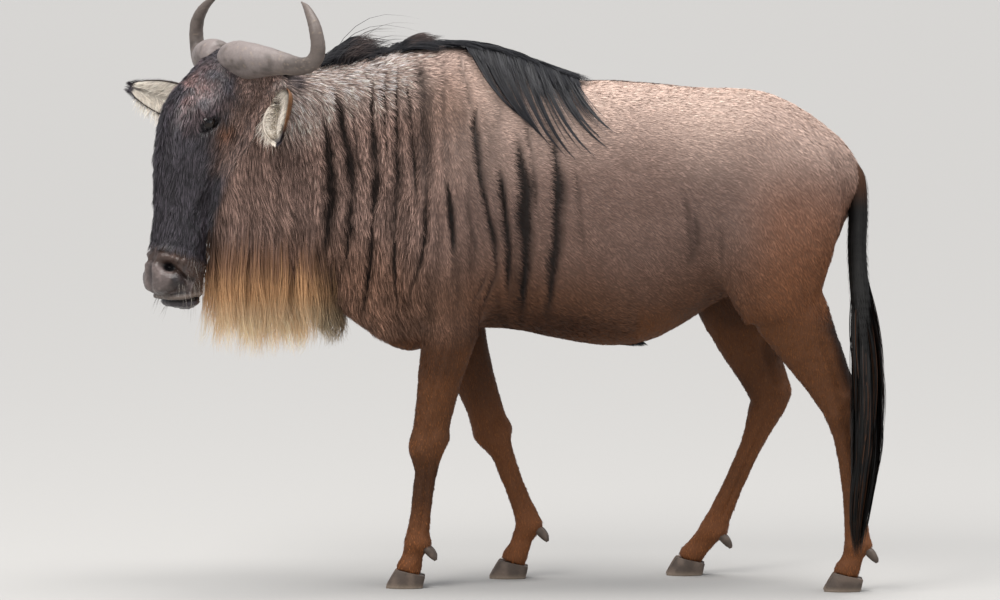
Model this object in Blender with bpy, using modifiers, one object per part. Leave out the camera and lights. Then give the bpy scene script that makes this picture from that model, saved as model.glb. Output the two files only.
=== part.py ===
"""A walking blue wildebeest bull, life-size, as closed solids in metres with +Z up.

The animal faces -X and its left side is at -Y. It is built whole from lofts, roughened into one
body, given its mane, beard and tail hair as locks, and then parted into nodes by thin cuts.
"""

import math
import random

import bmesh
import bpy
import numpy as np
from mathutils import Vector
from mathutils.bvhtree import BVHTree

# Driving sizes, in metres and degrees.
CENTRE_Y = 0.027
GIRTH = 0.93
GAP = 0.00035
VOXEL = 0.006
TRUNK_VOXEL = 0.009
TRUNK_SMOOTHING = 16
FLESH_TRIANGLES = 5500
HEAD_SPARE = 0.5
LEG_SPARE = 0.9
SPARE_STRENGTH = 0.02
SEED = 11
WITHERS_LOCKS = 14
CREST_LOCKS = 18
BEARD_LOCKS = 8
BEARD_TIP = 0.540
TAIL_LOCKS = 17

HEAD_TURN = 35.0
HEAD_TILT = 19.0
POLL = np.array([-0.632, -0.08, 1.24])
EYE_RADIUS = 0.021
EYE_PLACE = (0.172, 0.078, 0.069)
EAR_LENGTH = 0.215
CLAW_HEIGHT = 0.050
HEEL_HEIGHT = 0.030
CLAW_LENGTH = 0.088
CLAW_WIDTH = 0.034

# The head's own directions: out of the face, along it from poll to muzzle, and to its left.
_turn = math.radians(HEAD_TURN)
_tilt = math.radians(HEAD_TILT)
HEAD_FORWARD = np.array([-math.cos(_turn), -math.sin(_turn), 0.0])
HEAD_LEFT = np.array([math.sin(_turn), -math.cos(_turn), 0.0])
HEAD_DOWN = HEAD_FORWARD * math.sin(_tilt) - np.array([0, 0, math.cos(_tilt)])
HEAD_OUT = HEAD_FORWARD * math.cos(_tilt) + np.array([0, 0, math.sin(_tilt)])

# Trunk and neck, tail end first: x, top, bottom, half width, middle y, height of the widest part.
TRUNK = (
    (0.835, 0.985, 0.905, 0.040, 0.000, 0.50),
    (0.807, 1.030, 0.875, 0.080, 0.000, 0.50),
    (0.775, 1.062, 0.810, 0.125, 0.000, 0.50),
    (0.732, 1.098, 0.725, 0.168, 0.000, 0.50),
    (0.666, 1.140, 0.700, 0.200, 0.000, 0.50),
    (0.583, 1.170, 0.690, 0.222, 0.000, 0.50),
    (0.500, 1.174, 0.668, 0.232, 0.000, 0.48),
    (0.430, 1.178, 0.622, 0.243, 0.000, 0.47),
    (0.335, 1.186, 0.573, 0.249, 0.000, 0.46),
    (0.241, 1.193, 0.560, 0.250, 0.000, 0.45),
    (0.146, 1.196, 0.572, 0.243, 0.000, 0.44),
    (0.052, 1.234, 0.592, 0.228, 0.000, 0.42),
    (-0.019, 1.258, 0.603, 0.212, 0.000, 0.40),
    (-0.090, 1.271, 0.597, 0.198, 0.000, 0.39),
    (-0.160, 1.273, 0.566, 0.186, 0.000, 0.40),
    (-0.231, 1.268, 0.545, 0.172, 0.000, 0.42),
    (-0.290, 1.254, 0.565, 0.160, -0.004, 0.43),
    (-0.349, 1.240, 0.612, 0.146, -0.010, 0.45),
    (-0.408, 1.228, 0.650, 0.134, -0.020, 0.47),
    (-0.467, 1.220, 0.684, 0.122, -0.037, 0.48),
    (-0.526, 1.214, 0.716, 0.111, -0.058, 0.49),
    (-0.585, 1.204, 0.746, 0.099, -0.085, 0.50),
    (-0.632, 1.158, 0.764, 0.088, -0.108, 0.50),
    (-0.668, 1.085, 0.776, 0.066, -0.126, 0.50),
    (-0.698, 0.995, 0.822, 0.034, -0.142, 0.50),
)

# Head: down the face from the poll, middle along the outward direction, half depth, half width.
HEAD = (
    (-0.030, -0.018, 0.034, 0.046),
    (-0.018, -0.016, 0.062, 0.070),
    (0.015, -0.008, 0.088, 0.084),
    (0.070, 0.012, 0.108, 0.090),
    (0.130, 0.030, 0.118, 0.092),
    (0.190, 0.040, 0.112, 0.086),
    (0.250, 0.046, 0.100, 0.072),
    (0.320, 0.044, 0.084, 0.060),
    (0.390, 0.034, 0.072, 0.054),
    (0.450, 0.022, 0.067, 0.055),
    (0.500, 0.010, 0.068, 0.060),
    (0.540, 0.003, 0.066, 0.063),
    (0.570, -0.006, 0.058, 0.060),
    (0.586, -0.014, 0.043, 0.050),
    (0.596, -0.020, 0.026, 0.030),
)

# Legs: place along the joints, half depth fore and aft, half width.
FORE_PROFILE = (
    (0.00, 0.074, 0.060),
    (0.45, 0.053, 0.049),
    (0.70, 0.047, 0.043),
    (0.90, 0.044, 0.039),
    (1.00, 0.044, 0.039),
    (1.17, 0.034, 0.031),
    (1.37, 0.027, 0.023),
    (1.67, 0.026, 0.021),
    (1.87, 0.029, 0.024),
    (2.00, 0.033, 0.029),
    (2.45, 0.029, 0.027),
    (3.00, 0.033, 0.031),
    (3.60, 0.034, 0.032),
)
HIND_PROFILE = (
    (0.00, 0.108, 0.078),
    (0.35, 0.083, 0.064),
    (0.60, 0.068, 0.050),
    (0.85, 0.052, 0.040),
    (1.00, 0.046, 0.036),
    (1.15, 0.036, 0.031),
    (1.35, 0.028, 0.024),
    (1.65, 0.026, 0.022),
    (1.87, 0.030, 0.025),
    (2.00, 0.034, 0.029),
    (2.50, 0.029, 0.027),
    (3.00, 0.033, 0.031),
    (3.60, 0.034, 0.032),
)
# Each leg's joints: top, knee or hock, fetlock, coronet, and the middle of the sole.
LEGS = {
    "fore_left": ((-0.135, -0.125, 0.620), (-0.188, -0.112, 0.340), (-0.214, -0.102, 0.106),
                  (-0.232, -0.100, 0.050), (-0.245, -0.100, 0.0)),
    "fore_right": ((-0.125, 0.125, 0.600), (-0.036, 0.095, 0.348), (0.050, 0.082, 0.128),
                   (0.016, 0.080, 0.050), (-0.002, 0.080, 0.0)),
    "hind_left": ((0.640, -0.150, 0.690), (0.782, -0.155, 0.440), (0.820, -0.160, 0.108),
                  (0.795, -0.160, 0.050), (0.782, -0.160, 0.0)),
    "hind_right": ((0.530, 0.140, 0.670), (0.630, 0.145, 0.425), (0.488, 0.140, 0.105),
                   (0.440, 0.140, 0.050), (0.420, 0.140, 0.0)),
}
# Muscles over the leg tops: x, y, z, half depth, half width down the path, on the left side.
SHOULDER = (
    (-0.045, 0.085, 1.120, 0.060, 0.050),
    (-0.085, 0.128, 1.000, 0.105, 0.062),
    (-0.150, 0.142, 0.860, 0.120, 0.066),
    (-0.165, 0.145, 0.750, 0.105, 0.064),
    (-0.135, 0.132, 0.640, 0.078, 0.058),
    (-0.140, 0.125, 0.560, 0.058, 0.052),
)
THIGH = (
    (0.600, 0.100, 1.060, 0.090, 0.060),
    (0.630, 0.145, 0.950, 0.150, 0.075),
    (0.622, 0.158, 0.830, 0.150, 0.082),
    (0.625, 0.160, 0.720, 0.122, 0.080),
    (0.642, 0.155, 0.640, 0.095, 0.070),
)
TAIL = (
    (0.770, -0.005, 0.995, 0.030),
    (0.812, -0.015, 0.965, 0.028),
    (0.822, -0.045, 0.890, 0.025),
    (0.818, -0.100, 0.790, 0.024),
    (0.823, -0.165, 0.680, 0.024),
    (0.832, -0.215, 0.570, 0.022),
    (0.838, -0.242, 0.460, 0.019),
    (0.833, -0.250, 0.350, 0.012),
)
# The tail's hair below the dock: x, y, z, half depth, half width.
TUFT = (
    (0.820, -0.080, 0.820, 0.026, 0.024),
    (0.822, -0.150, 0.700, 0.034, 0.028),
    (0.830, -0.205, 0.590, 0.044, 0.030),
    (0.838, -0.240, 0.480, 0.043, 0.029),
    (0.835, -0.252, 0.360, 0.041, 0.028),
    (0.826, -0.254, 0.260, 0.030, 0.024),
    (0.818, -0.252, 0.170, 0.022, 0.018),
    (0.815, -0.250, 0.085, 0.009, 0.008),
)
# Horn: out to the side, down the face, out of the face, radius.
HORN = (
    (0.010, 0.004, 0.034, 0.018),
    (0.018, 0.005, 0.034, 0.033),
    (0.034, 0.006, 0.034, 0.042),
    (0.060, 0.006, 0.030, 0.045),
    (0.092, 0.003, 0.019, 0.042),
    (0.130, -0.002, 0.002, 0.034),
    (0.170, -0.005, -0.018, 0.026),
    (0.207, -0.005, -0.032, 0.0215),
    (0.238, -0.014, -0.041, 0.0190),
    (0.256, -0.034, -0.042, 0.0175),
    (0.262, -0.058, -0.034, 0.0165),
    (0.258, -0.082, -0.024, 0.0155),
    (0.248, -0.103, -0.017, 0.0140),
    (0.230, -0.123, -0.012, 0.0115),
    (0.207, -0.141, -0.010, 0.0076),
    (0.181, -0.153, -0.010, 0.0020),
)
EARS = {
    "left": ((0.050, -0.088, 0.086), (-0.02, -0.88, -0.46), (-0.62, -0.66, 0.40)),
    "right": ((0.124, -0.020, -0.078), (-0.93, 0.28, 0.26), (-0.25, -0.85, 0.10)),
}

COLOURS = {
    "coat": (0.33, 0.27, 0.22, 1.0),
    "face": (0.05, 0.045, 0.045, 1.0),
    "hair": (0.02, 0.02, 0.025, 1.0),
    "leg": (0.22, 0.13, 0.08, 1.0),
    "horn": (0.30, 0.27, 0.26, 1.0),
    "hoof": (0.10, 0.09, 0.085, 1.0),
    "eye": (0.02, 0.012, 0.01, 1.0),
}


def new_collection(name, hidden=False):
    collection = bpy.data.collections.new(name)
    bpy.context.scene.collection.children.link(collection)
    collection.hide_render = hidden
    return collection


def material(name, colour, roughness):
    made = bpy.data.materials.new(name)
    made.use_nodes = True
    shader = made.node_tree.nodes["Principled BSDF"]
    shader.inputs["Base Color"].default_value = colour
    shader.inputs["Roughness"].default_value = roughness
    made.diffuse_color = colour
    return made


def smooth_rows(rows, steps):
    """Rows of numbers with steps more rows between each two, along a curve through them all."""
    rows = np.array(rows, float)
    padded = np.vstack([2 * rows[0] - rows[1], rows, 2 * rows[-1] - rows[-2]])
    found = []
    for i in range(1, len(padded) - 2):
        p0, p1, p2, p3 = padded[i - 1 : i + 3]
        for t in np.arange(steps) / steps:
            found.append(
                0.5 * (2 * p1 + (p2 - p0) * t + (2 * p0 - 5 * p1 + 4 * p2 - p3) * t * t
                       + (3 * p1 - p0 - 3 * p2 + p3) * t**3)
            )
    found.append(rows[-1])
    return np.array(found)


def unit(vector):
    return vector / np.linalg.norm(vector)


def mesh_object(name, vertices, faces, collection):
    mesh = bpy.data.meshes.new(name)
    mesh.from_pydata([tuple(v) for v in vertices], [], [tuple(f) for f in faces])
    made = bpy.data.objects.new(name, mesh)
    collection.objects.link(made)
    work = bmesh.new()
    work.from_mesh(mesh)
    bmesh.ops.recalc_face_normals(work, faces=work.faces)
    if work.calc_volume(signed=True) < 0:
        bmesh.ops.reverse_faces(work, faces=work.faces)
    work.to_mesh(mesh)
    work.free()
    return made


def loft(name, rings, collection):
    """A closed skin over rings of equal point counts, with a flat cap on each end."""
    rings = [np.asarray(ring) for ring in rings]
    count = len(rings[0])
    faces = []
    for i in range(len(rings) - 1):
        for j in range(count):
            k = (j + 1) % count
            faces.append((i * count + j, i * count + k, (i + 1) * count + k, (i + 1) * count + j))
    faces.append(tuple(range(count)))
    faces.append(tuple(range((len(rings) - 1) * count, len(rings) * count)))
    return mesh_object(name, np.vstack(rings), faces, collection)


def power(value, exponent):
    return np.sign(value) * np.abs(value) ** exponent


def trunk_rings():
    around = np.linspace(0, 2 * math.pi, 40, endpoint=False)
    rings = []
    for x, top, bottom, half, middle, wide in smooth_rows(TRUNK, 3):
        height = bottom + (top - bottom) * wide
        lift = np.where(np.sin(around) > 0, top - height, height - bottom)
        rings.append(
            np.stack(
                [
                    np.full(len(around), x),
                    middle + GIRTH * half * power(np.cos(around), 0.92),
                    height + lift * power(np.sin(around), 0.94),
                ],
                axis=1,
            )
        )
    return rings


def head_point(down, out, left):
    return POLL + HEAD_DOWN * down + HEAD_OUT * out + HEAD_LEFT * left


def head_rings():
    around = np.linspace(0, 2 * math.pi, 36, endpoint=False)
    rings = []
    for down, out, depth, half in smooth_rows(HEAD, 3):
        outs = out + depth * power(np.sin(around), 0.90)
        lefts = half * power(np.cos(around), 0.88)
        lefts *= 1 - 0.10 * np.clip(np.sin(around), 0, 1) ** 2
        rings.append([head_point(down, o, s) for o, s in zip(outs, lefts)])
    return rings


def path_rings(rows, count):
    """Ellipses square to a path of x, y, z, half depth, half width, the width across the body."""
    rows = np.array(rows)
    points = rows[:, :3]
    tangents = np.gradient(points, axis=0)
    around = np.linspace(0, 2 * math.pi, count, endpoint=False)
    rings = []
    for point, tangent, depth, half in zip(points, tangents, rows[:, 3], rows[:, 4]):
        tangent = unit(tangent)
        aside = unit(np.array([0, 1, 0]) - tangent * tangent[1])
        fore = np.cross(aside, tangent)
        rings.append(
            point
            + np.outer(depth * np.cos(around), fore)
            + np.outer(half * np.sin(around), aside)
        )
    return rings


def leg_rows(joints, profile):
    joints = np.array(joints)
    rows = []
    for place, depth, half in profile:
        first = min(int(place), len(joints) - 2)
        point = joints[first] + (joints[first + 1] - joints[first]) * (place - first)
        rows.append((*point, depth, half))
    return smooth_rows(rows, 3)


def side_of(name):
    return -1 if name.endswith("left") else 1


def leg_muscle(name, collection):
    """The shoulder or the haunch over one leg's top, leaning with that leg."""
    fore = name.startswith("fore")
    muscle = np.array(SHOULDER if fore else THIGH)
    shift = LEGS[name][0][0] - LEGS["fore_left" if fore else "hind_left"][0][0]
    muscle[:, 0] += shift * np.linspace(0, 1, len(muscle)) ** 1.5
    muscle[:, 1] *= side_of(name)
    return loft(name + "_muscle", path_rings(smooth_rows(muscle, 4), 24), collection)


def heel_string(name, collection):
    """The tendon behind a hind leg, down to the point of the hock."""
    top, hock, fetlock = (np.array(joint) for joint in LEGS[name][:3])
    back = np.array([0.040, 0, 0])
    rows = (
        (*(top + (hock - top) * 0.30 + back), 0.040, 0.032),
        (*(top + (hock - top) * 0.62 + back), 0.024, 0.022),
        (*(hock + np.array([0.026, 0, 0.016])), 0.018, 0.020),
        (*(hock + (fetlock - hock) * 0.14 + np.array([0.012, 0, 0])), 0.018, 0.018),
    )
    return loft(name + "_heel", path_rings(smooth_rows(rows, 5), 14), collection)


def flesh_lofts(collection):
    """The trunk with its muscles melted into it, then the head and the legs."""
    trunk = [loft("trunk", trunk_rings(), collection)]
    trunk += [leg_muscle(name, collection) for name in LEGS]
    trunk = join(trunk, "trunk", collection)
    remesh(trunk, TRUNK_VOXEL, TRUNK_SMOOTHING)
    pieces = [trunk, loft("skull", head_rings(), collection)]
    for name, joints in LEGS.items():
        fore = name.startswith("fore")
        rows = leg_rows(joints, FORE_PROFILE if fore else HIND_PROFILE)
        pieces.append(loft(name, path_rings(rows, 20), collection))
        if not fore:
            pieces.append(heel_string(name, collection))
    return pieces


def apply_modifiers(obj):
    graph = bpy.context.evaluated_depsgraph_get()
    made = bpy.data.meshes.new_from_object(obj.evaluated_get(graph))
    old = obj.data
    obj.modifiers.clear()
    obj.data = made
    made.name = old.name
    bpy.data.meshes.remove(old)


def delete(obj):
    mesh = obj.data
    bpy.data.objects.remove(obj)
    bpy.data.meshes.remove(mesh)


def join(pieces, name, collection):
    vertices, faces, start = [], [], 0
    for piece in pieces:
        vertices += [tuple(v.co) for v in piece.data.vertices]
        faces += [tuple(start + i for i in p.vertices) for p in piece.data.polygons]
        start = len(vertices)
    for piece in pieces:
        delete(piece)
    mesh = bpy.data.meshes.new(name)
    mesh.from_pydata(vertices, [], faces)
    made = bpy.data.objects.new(name, mesh)
    collection.objects.link(made)
    return made


def remesh(obj, size, smoothing):
    modifier = obj.modifiers.new("remesh", "REMESH")
    modifier.mode = "VOXEL"
    modifier.voxel_size = size
    if smoothing:
        smooth = obj.modifiers.new("smooth", "SMOOTH")
        smooth.factor = 0.5
        smooth.iterations = smoothing
    apply_modifiers(obj)


def points_of(mesh):
    found = np.empty(len(mesh.vertices) * 3)
    mesh.vertices.foreach_get("co", found)
    return found.reshape(-1, 3)


def normals_of(mesh):
    found = np.empty(len(mesh.vertices) * 3)
    mesh.vertices.foreach_get("normal", found)
    return found.reshape(-1, 3)


def move_points(mesh, points):
    mesh.vertices.foreach_set("co", np.ascontiguousarray(points).reshape(-1))
    mesh.update()


def bump(places, middle, spread):
    """One at the middle, falling off by the spread along each of the head's directions."""
    apart = (places - np.array(middle)) / np.array(spread)
    return np.exp(-0.5 * (apart**2).sum(axis=1))


def head_places(points):
    """Down the face, out of it, and away from the middle, for each point."""
    apart = points - POLL
    return np.stack([apart @ HEAD_DOWN, apart @ HEAD_OUT, np.abs(apart @ HEAD_LEFT)], axis=1)


def head_relief(points):
    """How far each point of the head moves out along its normal."""
    places = head_places(points)
    down, out, aside = places.T
    eye = np.array(EYE_PLACE)
    along = (down - eye[0]) * 0.80 + (out - eye[1]) * 0.60
    across = -(down - eye[0]) * 0.60 + (out - eye[1]) * 0.80
    near_eye = aside > 0.03
    almond = np.sqrt((along / 0.0195) ** 2 + (across / 0.0125) ** 2)
    height = np.where(near_eye, -0.0090 * np.exp(-almond**4), 0)
    height += np.where(near_eye, 0.0055 * np.exp(-((almond - 1.45) / 0.42) ** 2), 0)
    height += 0.0070 * bump(places, (0.135, 0.090, 0.082), (0.018, 0.026, 0.03))
    height -= 0.0050 * bump(places, (0.215, 0.105, 0.060), (0.022, 0.018, 0.02))
    height += 0.0050 * bump(places, (0.290, 0.040, 0.068), (0.060, 0.016, 0.02))
    height -= 0.0040 * bump(places, (0.350, 0.085, 0.050), (0.060, 0.014, 0.02))
    height += 0.0060 * bump(places, (0.497, 0.055, 0.048), (0.012, 0.020, 0.016))
    height += 0.0050 * bump(places, (0.533, 0.030, 0.056), (0.020, 0.014, 0.016))
    height -= 0.0200 * bump(places, (0.519, 0.048, 0.038), (0.0085, 0.013, 0.011))
    line = down - (0.588 + 0.448 * (out - 0.005))
    mouth = np.exp(-((line / 0.0048) ** 2)) * (out > -0.056) * (down > 0.5)
    height -= 0.0085 * mouth
    lips = np.exp(-(((np.abs(line) - 0.0125) / 0.0065) ** 2)) * (out > -0.058) * (down > 0.5)
    height += 0.0030 * lips
    return height


def trunk_relief(points):
    """Shallow folds on the neck and shoulder, and the hollows of flank and haunch."""
    x, y, z = points.T
    height = np.zeros(len(points))
    for place, lean, top, bottom, depth in (
        (-0.42, 0.10, 1.15, 0.72, 0.0040),
        (-0.34, 0.08, 1.12, 0.70, 0.0040),
        (-0.26, 0.05, 1.13, 0.66, 0.0045),
        (-0.185, 0.02, 1.14, 0.90, 0.0050),
        (-0.05, -0.02, 1.08, 0.76, 0.0040),
        (0.04, -0.04, 1.10, 0.70, 0.0050),
        (0.11, -0.05, 1.08, 0.72, 0.0040),
    ):
        line = x - place - lean * (z - 0.9)
        inside = 1 / (1 + np.exp(-(z - bottom) / 0.03)) / (1 + np.exp((z - top) / 0.03))
        height -= depth * np.exp(-((line / 0.010) ** 2)) * inside * (np.abs(y) > 0.05)
    flank = np.exp(-(((x - 0.44) / 0.05) ** 2) - ((z - 0.90) / 0.16) ** 2)
    height -= 0.014 * flank * (np.abs(y) > 0.08)
    return height


def make_flesh(collection):
    flesh = join(flesh_lofts(collection), "flesh", collection)
    remesh(flesh, VOXEL, 7)
    points = points_of(flesh.data)
    places = head_places(points)
    fade = 1 / (1 + np.exp((points[:, 0] - (-0.555) - 0.25 * points[:, 1]) / 0.012))
    height = head_relief(points) * fade * (np.abs(places[:, 0] - 0.28) < 0.36)
    height += trunk_relief(points) * (1 - fade)
    move_points(flesh.data, points + normals_of(flesh.data) * height[:, None])
    remesh(flesh, VOXEL * 0.85, 1)
    thin_out(flesh, FLESH_TRIANGLES)
    return flesh


def thin_out(flesh, triangles):
    """Fewer triangles, with more of them kept on the head and the feet."""
    points = points_of(flesh.data)
    places = head_places(points)
    group = flesh.vertex_groups.new(name="spare")
    on_head = (points[:, 0] < -0.53) & (places[:, 0] > 0.0) & (places[:, 1] > -0.06)
    on_foot = points[:, 2] < 0.60
    weights = np.where(on_head, HEAD_SPARE, np.where(on_foot, LEG_SPARE, 1.0))
    for level in (HEAD_SPARE, LEG_SPARE, 1.0):
        chosen = np.nonzero(weights == level)[0]
        group.add([int(i) for i in chosen], level, "REPLACE")
    modifier = flesh.modifiers.new("thin", "DECIMATE")
    modifier.vertex_group = group.name
    modifier.vertex_group_factor = SPARE_STRENGTH
    modifier.ratio = triangles / (2 * len(flesh.data.polygons))
    modifier.use_collapse_triangulate = True
    apply_modifiers(flesh)


def boolean(obj, others, operation, solver="MANIFOLD"):
    """Cut obj with the others, or join them to it, and remove them."""
    tools = bpy.data.collections.new("tools")
    for other in others:
        for parent in list(other.users_collection):
            parent.objects.unlink(other)
        tools.objects.link(other)
    modifier = obj.modifiers.new("cut", "BOOLEAN")
    modifier.operation = operation
    modifier.solver = solver
    modifier.operand_type = "COLLECTION"
    modifier.collection = tools
    bpy.context.scene.collection.children.link(tools)
    apply_modifiers(obj)
    bpy.context.scene.collection.children.unlink(tools)
    for other in list(tools.objects):
        delete(other)
    bpy.data.collections.remove(tools)


def box(name, middle, size, along, collection):
    """A box whose own x runs along a given horizontal or tilted direction."""
    along = unit(np.array(along, float))
    aside = unit(np.cross([0, 0, 1], along)) if abs(along[2]) < 0.99 else np.array([0, 1.0, 0])
    rise = np.cross(along, aside)
    corners = []
    for i in (-0.5, 0.5):
        ring = []
        for j, k in ((-0.5, -0.5), (0.5, -0.5), (0.5, 0.5), (-0.5, 0.5)):
            ring.append(np.array(middle) + along * i * size[0] + aside * j * size[1] + rise * k * size[2])
        corners.append(ring)
    return loft(name, corners, collection)


def sphere(name, middle, radius, collection, segments=14, rows=8):
    mesh = bpy.data.meshes.new(name)
    work = bmesh.new()
    bmesh.ops.create_uvsphere(work, u_segments=segments, v_segments=rows, radius=radius)
    bmesh.ops.translate(work, verts=work.verts, vec=Vector(middle))
    bmesh.ops.triangulate(work, faces=work.faces)
    work.to_mesh(mesh)
    work.free()
    made = bpy.data.objects.new(name, mesh)
    collection.objects.link(made)
    return made


def grown(obj, name, amount, collection):
    """A copy of obj with each point moved out along its normal."""
    made = bpy.data.objects.new(name, obj.data.copy())
    collection.objects.link(made)
    move_points(made.data, points_of(made.data) + normals_of(made.data) * amount)
    return made


def islands(obj, collection):
    """Each separate closed surface of obj as an object of its own, largest first."""
    work = bmesh.new()
    work.from_mesh(obj.data)
    bmesh.ops.triangulate(work, faces=work.faces)
    work.verts.ensure_lookup_table()
    label = [-1] * len(work.verts)
    count = 0
    for vertex in work.verts:
        if label[vertex.index] >= 0:
            continue
        stack = [vertex]
        label[vertex.index] = count
        while stack:
            for edge in stack.pop().link_edges:
                for end in edge.verts:
                    if label[end.index] < 0:
                        label[end.index] = count
                        stack.append(end)
        count += 1
    corners = [[v.index for v in face.verts] for face in work.faces]
    points = [tuple(v.co) for v in work.verts]
    work.free()
    found = []
    for number in range(count):
        chosen = [f for f in corners if label[f[0]] == number]
        if len(chosen) < 8:
            continue
        order = {}
        for face in chosen:
            for index in face:
                order.setdefault(index, len(order))
        mesh = bpy.data.meshes.new(obj.name)
        mesh.from_pydata([points[i] for i in order], [], [[order[i] for i in f] for f in chosen])
        made = bpy.data.objects.new(obj.name, mesh)
        collection.objects.link(made)
        found.append(made)
    name = obj.name
    delete(obj)
    for piece in found:
        piece.name = name
    found.sort(key=lambda piece: -volume(piece))
    return found


def volume(obj):
    work = bmesh.new()
    work.from_mesh(obj.data)
    size = work.calc_volume(signed=True)
    work.free()
    return size


def largest(obj, collection):
    name = obj.name
    pieces = islands(obj, collection)
    for spare in pieces[1:]:
        delete(spare)
    pieces[0].name = name
    return pieces[0]


def lock(name, path, width, thick, flat, collection):
    """A flat tapered lock of hair along a path; flat is the direction it is thin in."""
    path = smooth_rows(path, 1)
    tangents = np.gradient(path, axis=0)
    last = len(path) - 1
    vertices, faces = [], []
    for i, (point, tangent) in enumerate(zip(path[:-1], tangents[:-1])):
        tangent = unit(tangent)
        thin = unit(flat - tangent * np.dot(flat, tangent))
        wide = np.cross(tangent, thin)
        share = (1 - (i / last) ** 1.8) * (0.72 + 0.28 * min(1, i / (0.35 * last)))
        for a, b in ((1, 0), (0, 1), (-1, 0), (0, -1)):
            vertices.append(point + wide * a * width * share / 2 + thin * b * thick * share / 2)
    vertices.append(path[-1])
    tip = len(vertices) - 1
    faces.append((0, 1, 2, 3))
    for i in range(last - 1):
        for j in range(4):
            k = (j + 1) % 4
            faces.append((4 * i + j, 4 * i + k, 4 * i + 4 + k, 4 * i + 4 + j))
    for j in range(4):
        faces.append((4 * (last - 1) + j, 4 * (last - 1) + (j + 1) % 4, tip))
    return mesh_object(name, vertices, faces, collection)


def trunk_at(x):
    """Top, bottom, half width, middle y and widest height of the trunk at x."""
    rows = np.array(TRUNK)[::-1]
    return [np.interp(x, rows[:, 0], rows[:, i]) for i in range(1, 6)]


def trunk_surface(x, turn):
    """A point of the trunk's side at x, turn degrees round from the top towards one side."""
    top, bottom, half, middle, wide = trunk_at(x)
    height = bottom + (top - bottom) * wide
    angle = math.radians(90 - turn)
    lift = top - height if math.sin(angle) > 0 else height - bottom
    return np.array(
        [
            x,
            middle + GIRTH * half * power(math.cos(angle), 0.92),
            height + lift * power(math.sin(angle), 0.94),
        ]
    )


def lies_on(tree, point, lift):
    """The point of the flesh nearest to this one, lifted off it along its normal."""
    place, normal, _, _ = tree.find_nearest(Vector(point))
    return np.array(place) + np.array(normal) * lift, np.array(normal)


def fallen_lock(tree, root, tip, lifts, width, thick, collection):
    """A lock that runs over the flesh from root to tip, at given heights above it."""
    root, tip = np.array(root), np.array(tip)
    path, normals = [], []
    for share, lift in zip(np.linspace(0, 1, len(lifts)), lifts):
        sag = 0.035 * math.sin(math.pi * share)
        point, normal = lies_on(tree, root + (tip - root) * share + np.array([0, 0, sag]), lift)
        path.append(point)
        normals.append(normal)
    return lock("fallen", path, width, thick, unit(sum(normals)), collection)


def mane_locks(tree, chance, collection):
    """Long strands over the withers, more of them on the left, and a short crest up the neck."""
    locks = []
    for side, count in ((-1, WITHERS_LOCKS), (1, WITHERS_LOCKS // 2)):
        for i in range(count):
            share = (i + 0.5) / count
            x = -0.13 + 0.27 * share + chance.uniform(-0.012, 0.012)
            reach = (0.16 + 0.10 * math.sin(math.pi * share)) * chance.uniform(0.8, 1.15)
            root = trunk_surface(x, side * chance.uniform(1, 14)) + (0, 0, 0.01)
            tip = trunk_surface(x + 0.05 + 0.55 * reach, side * (24 + 150 * reach))
            lifts = (-0.006, 0.013, 0.011, 0.002)
            width = chance.uniform(0.042, 0.054)
            locks.append(fallen_lock(tree, root, tip, lifts, width, 0.013, collection))
    for i in range(CREST_LOCKS):
        share = (i + 0.5) / CREST_LOCKS
        x = -0.575 + 0.61 * share
        tall = 0.010 + 0.034 * math.exp(-(((x + 0.425) / 0.060) ** 2))
        tall += 0.018 * math.exp(-(((x - 0.01) / 0.06) ** 2))
        tall *= chance.uniform(0.85, 1.12)
        lean = chance.uniform(-0.022, 0.012)
        rows = []
        for back, up, out in ((0.0, -0.55, 0.3), (0.2, 0.5, 0.6), (0.5, 1.0, 1.0), (1.0, 0.85, 2.0)):
            at = x + back * (0.06 + 0.6 * tall)
            top, _, _, middle, _ = trunk_at(at)
            rows.append((at, middle + lean * out, top + tall * up - 0.006))
        locks.append(lock("crest", rows, 0.046, 0.014, np.array([0, 1.0, 0]), collection))
    return locks


def beard_locks(chance, collection):
    """A curtain of locks under the jaw and throat, over a core that reaches half way down it."""
    core = []
    for x in np.linspace(-0.655, -0.425, 7):
        _, bottom, _, middle, _ = trunk_at(x)
        low = (bottom + BEARD_TIP) / 2
        core.append([
            (x, middle - 0.026, bottom + 0.05), (x, middle + 0.026, bottom + 0.05),
            (x, middle + 0.014, (low + bottom) / 2), (x, middle, low),
            (x, middle - 0.014, (low + bottom) / 2),
        ])
    locks = [loft("beard_core", core, collection)]
    for row, aside in enumerate((-0.024, 0.0, 0.024)):
        for i in range(BEARD_LOCKS):
            share = (i + 0.5 + 0.33 * row) / (BEARD_LOCKS + 0.66)
            x = -0.672 + 0.262 * share
            _, bottom, _, middle, _ = trunk_at(x)
            low = BEARD_TIP + chance.uniform(-0.012, 0.022) + 0.025 * abs(share - 0.45)
            drift = chance.uniform(-0.012, 0.012) - 0.012 * (1 - share)
            spread = aside * chance.uniform(0.4, 1.0)
            rows = []
            for down in (0.0, 0.27, 0.55, 0.80, 1.0):
                rows.append((
                    x + drift * down**1.5 + 0.006 * math.sin(5 * down + i),
                    middle + aside + spread * math.sin(math.pi * down * 0.8),
                    bottom + 0.035 + (low - bottom - 0.035) * down,
                ))
            flat = np.array([0.25 * chance.uniform(-1, 1), 1.0, 0])
            width = chance.uniform(0.038, 0.048)
            locks.append(lock("beard", rows, width, 0.013, flat, collection))
    return locks


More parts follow.
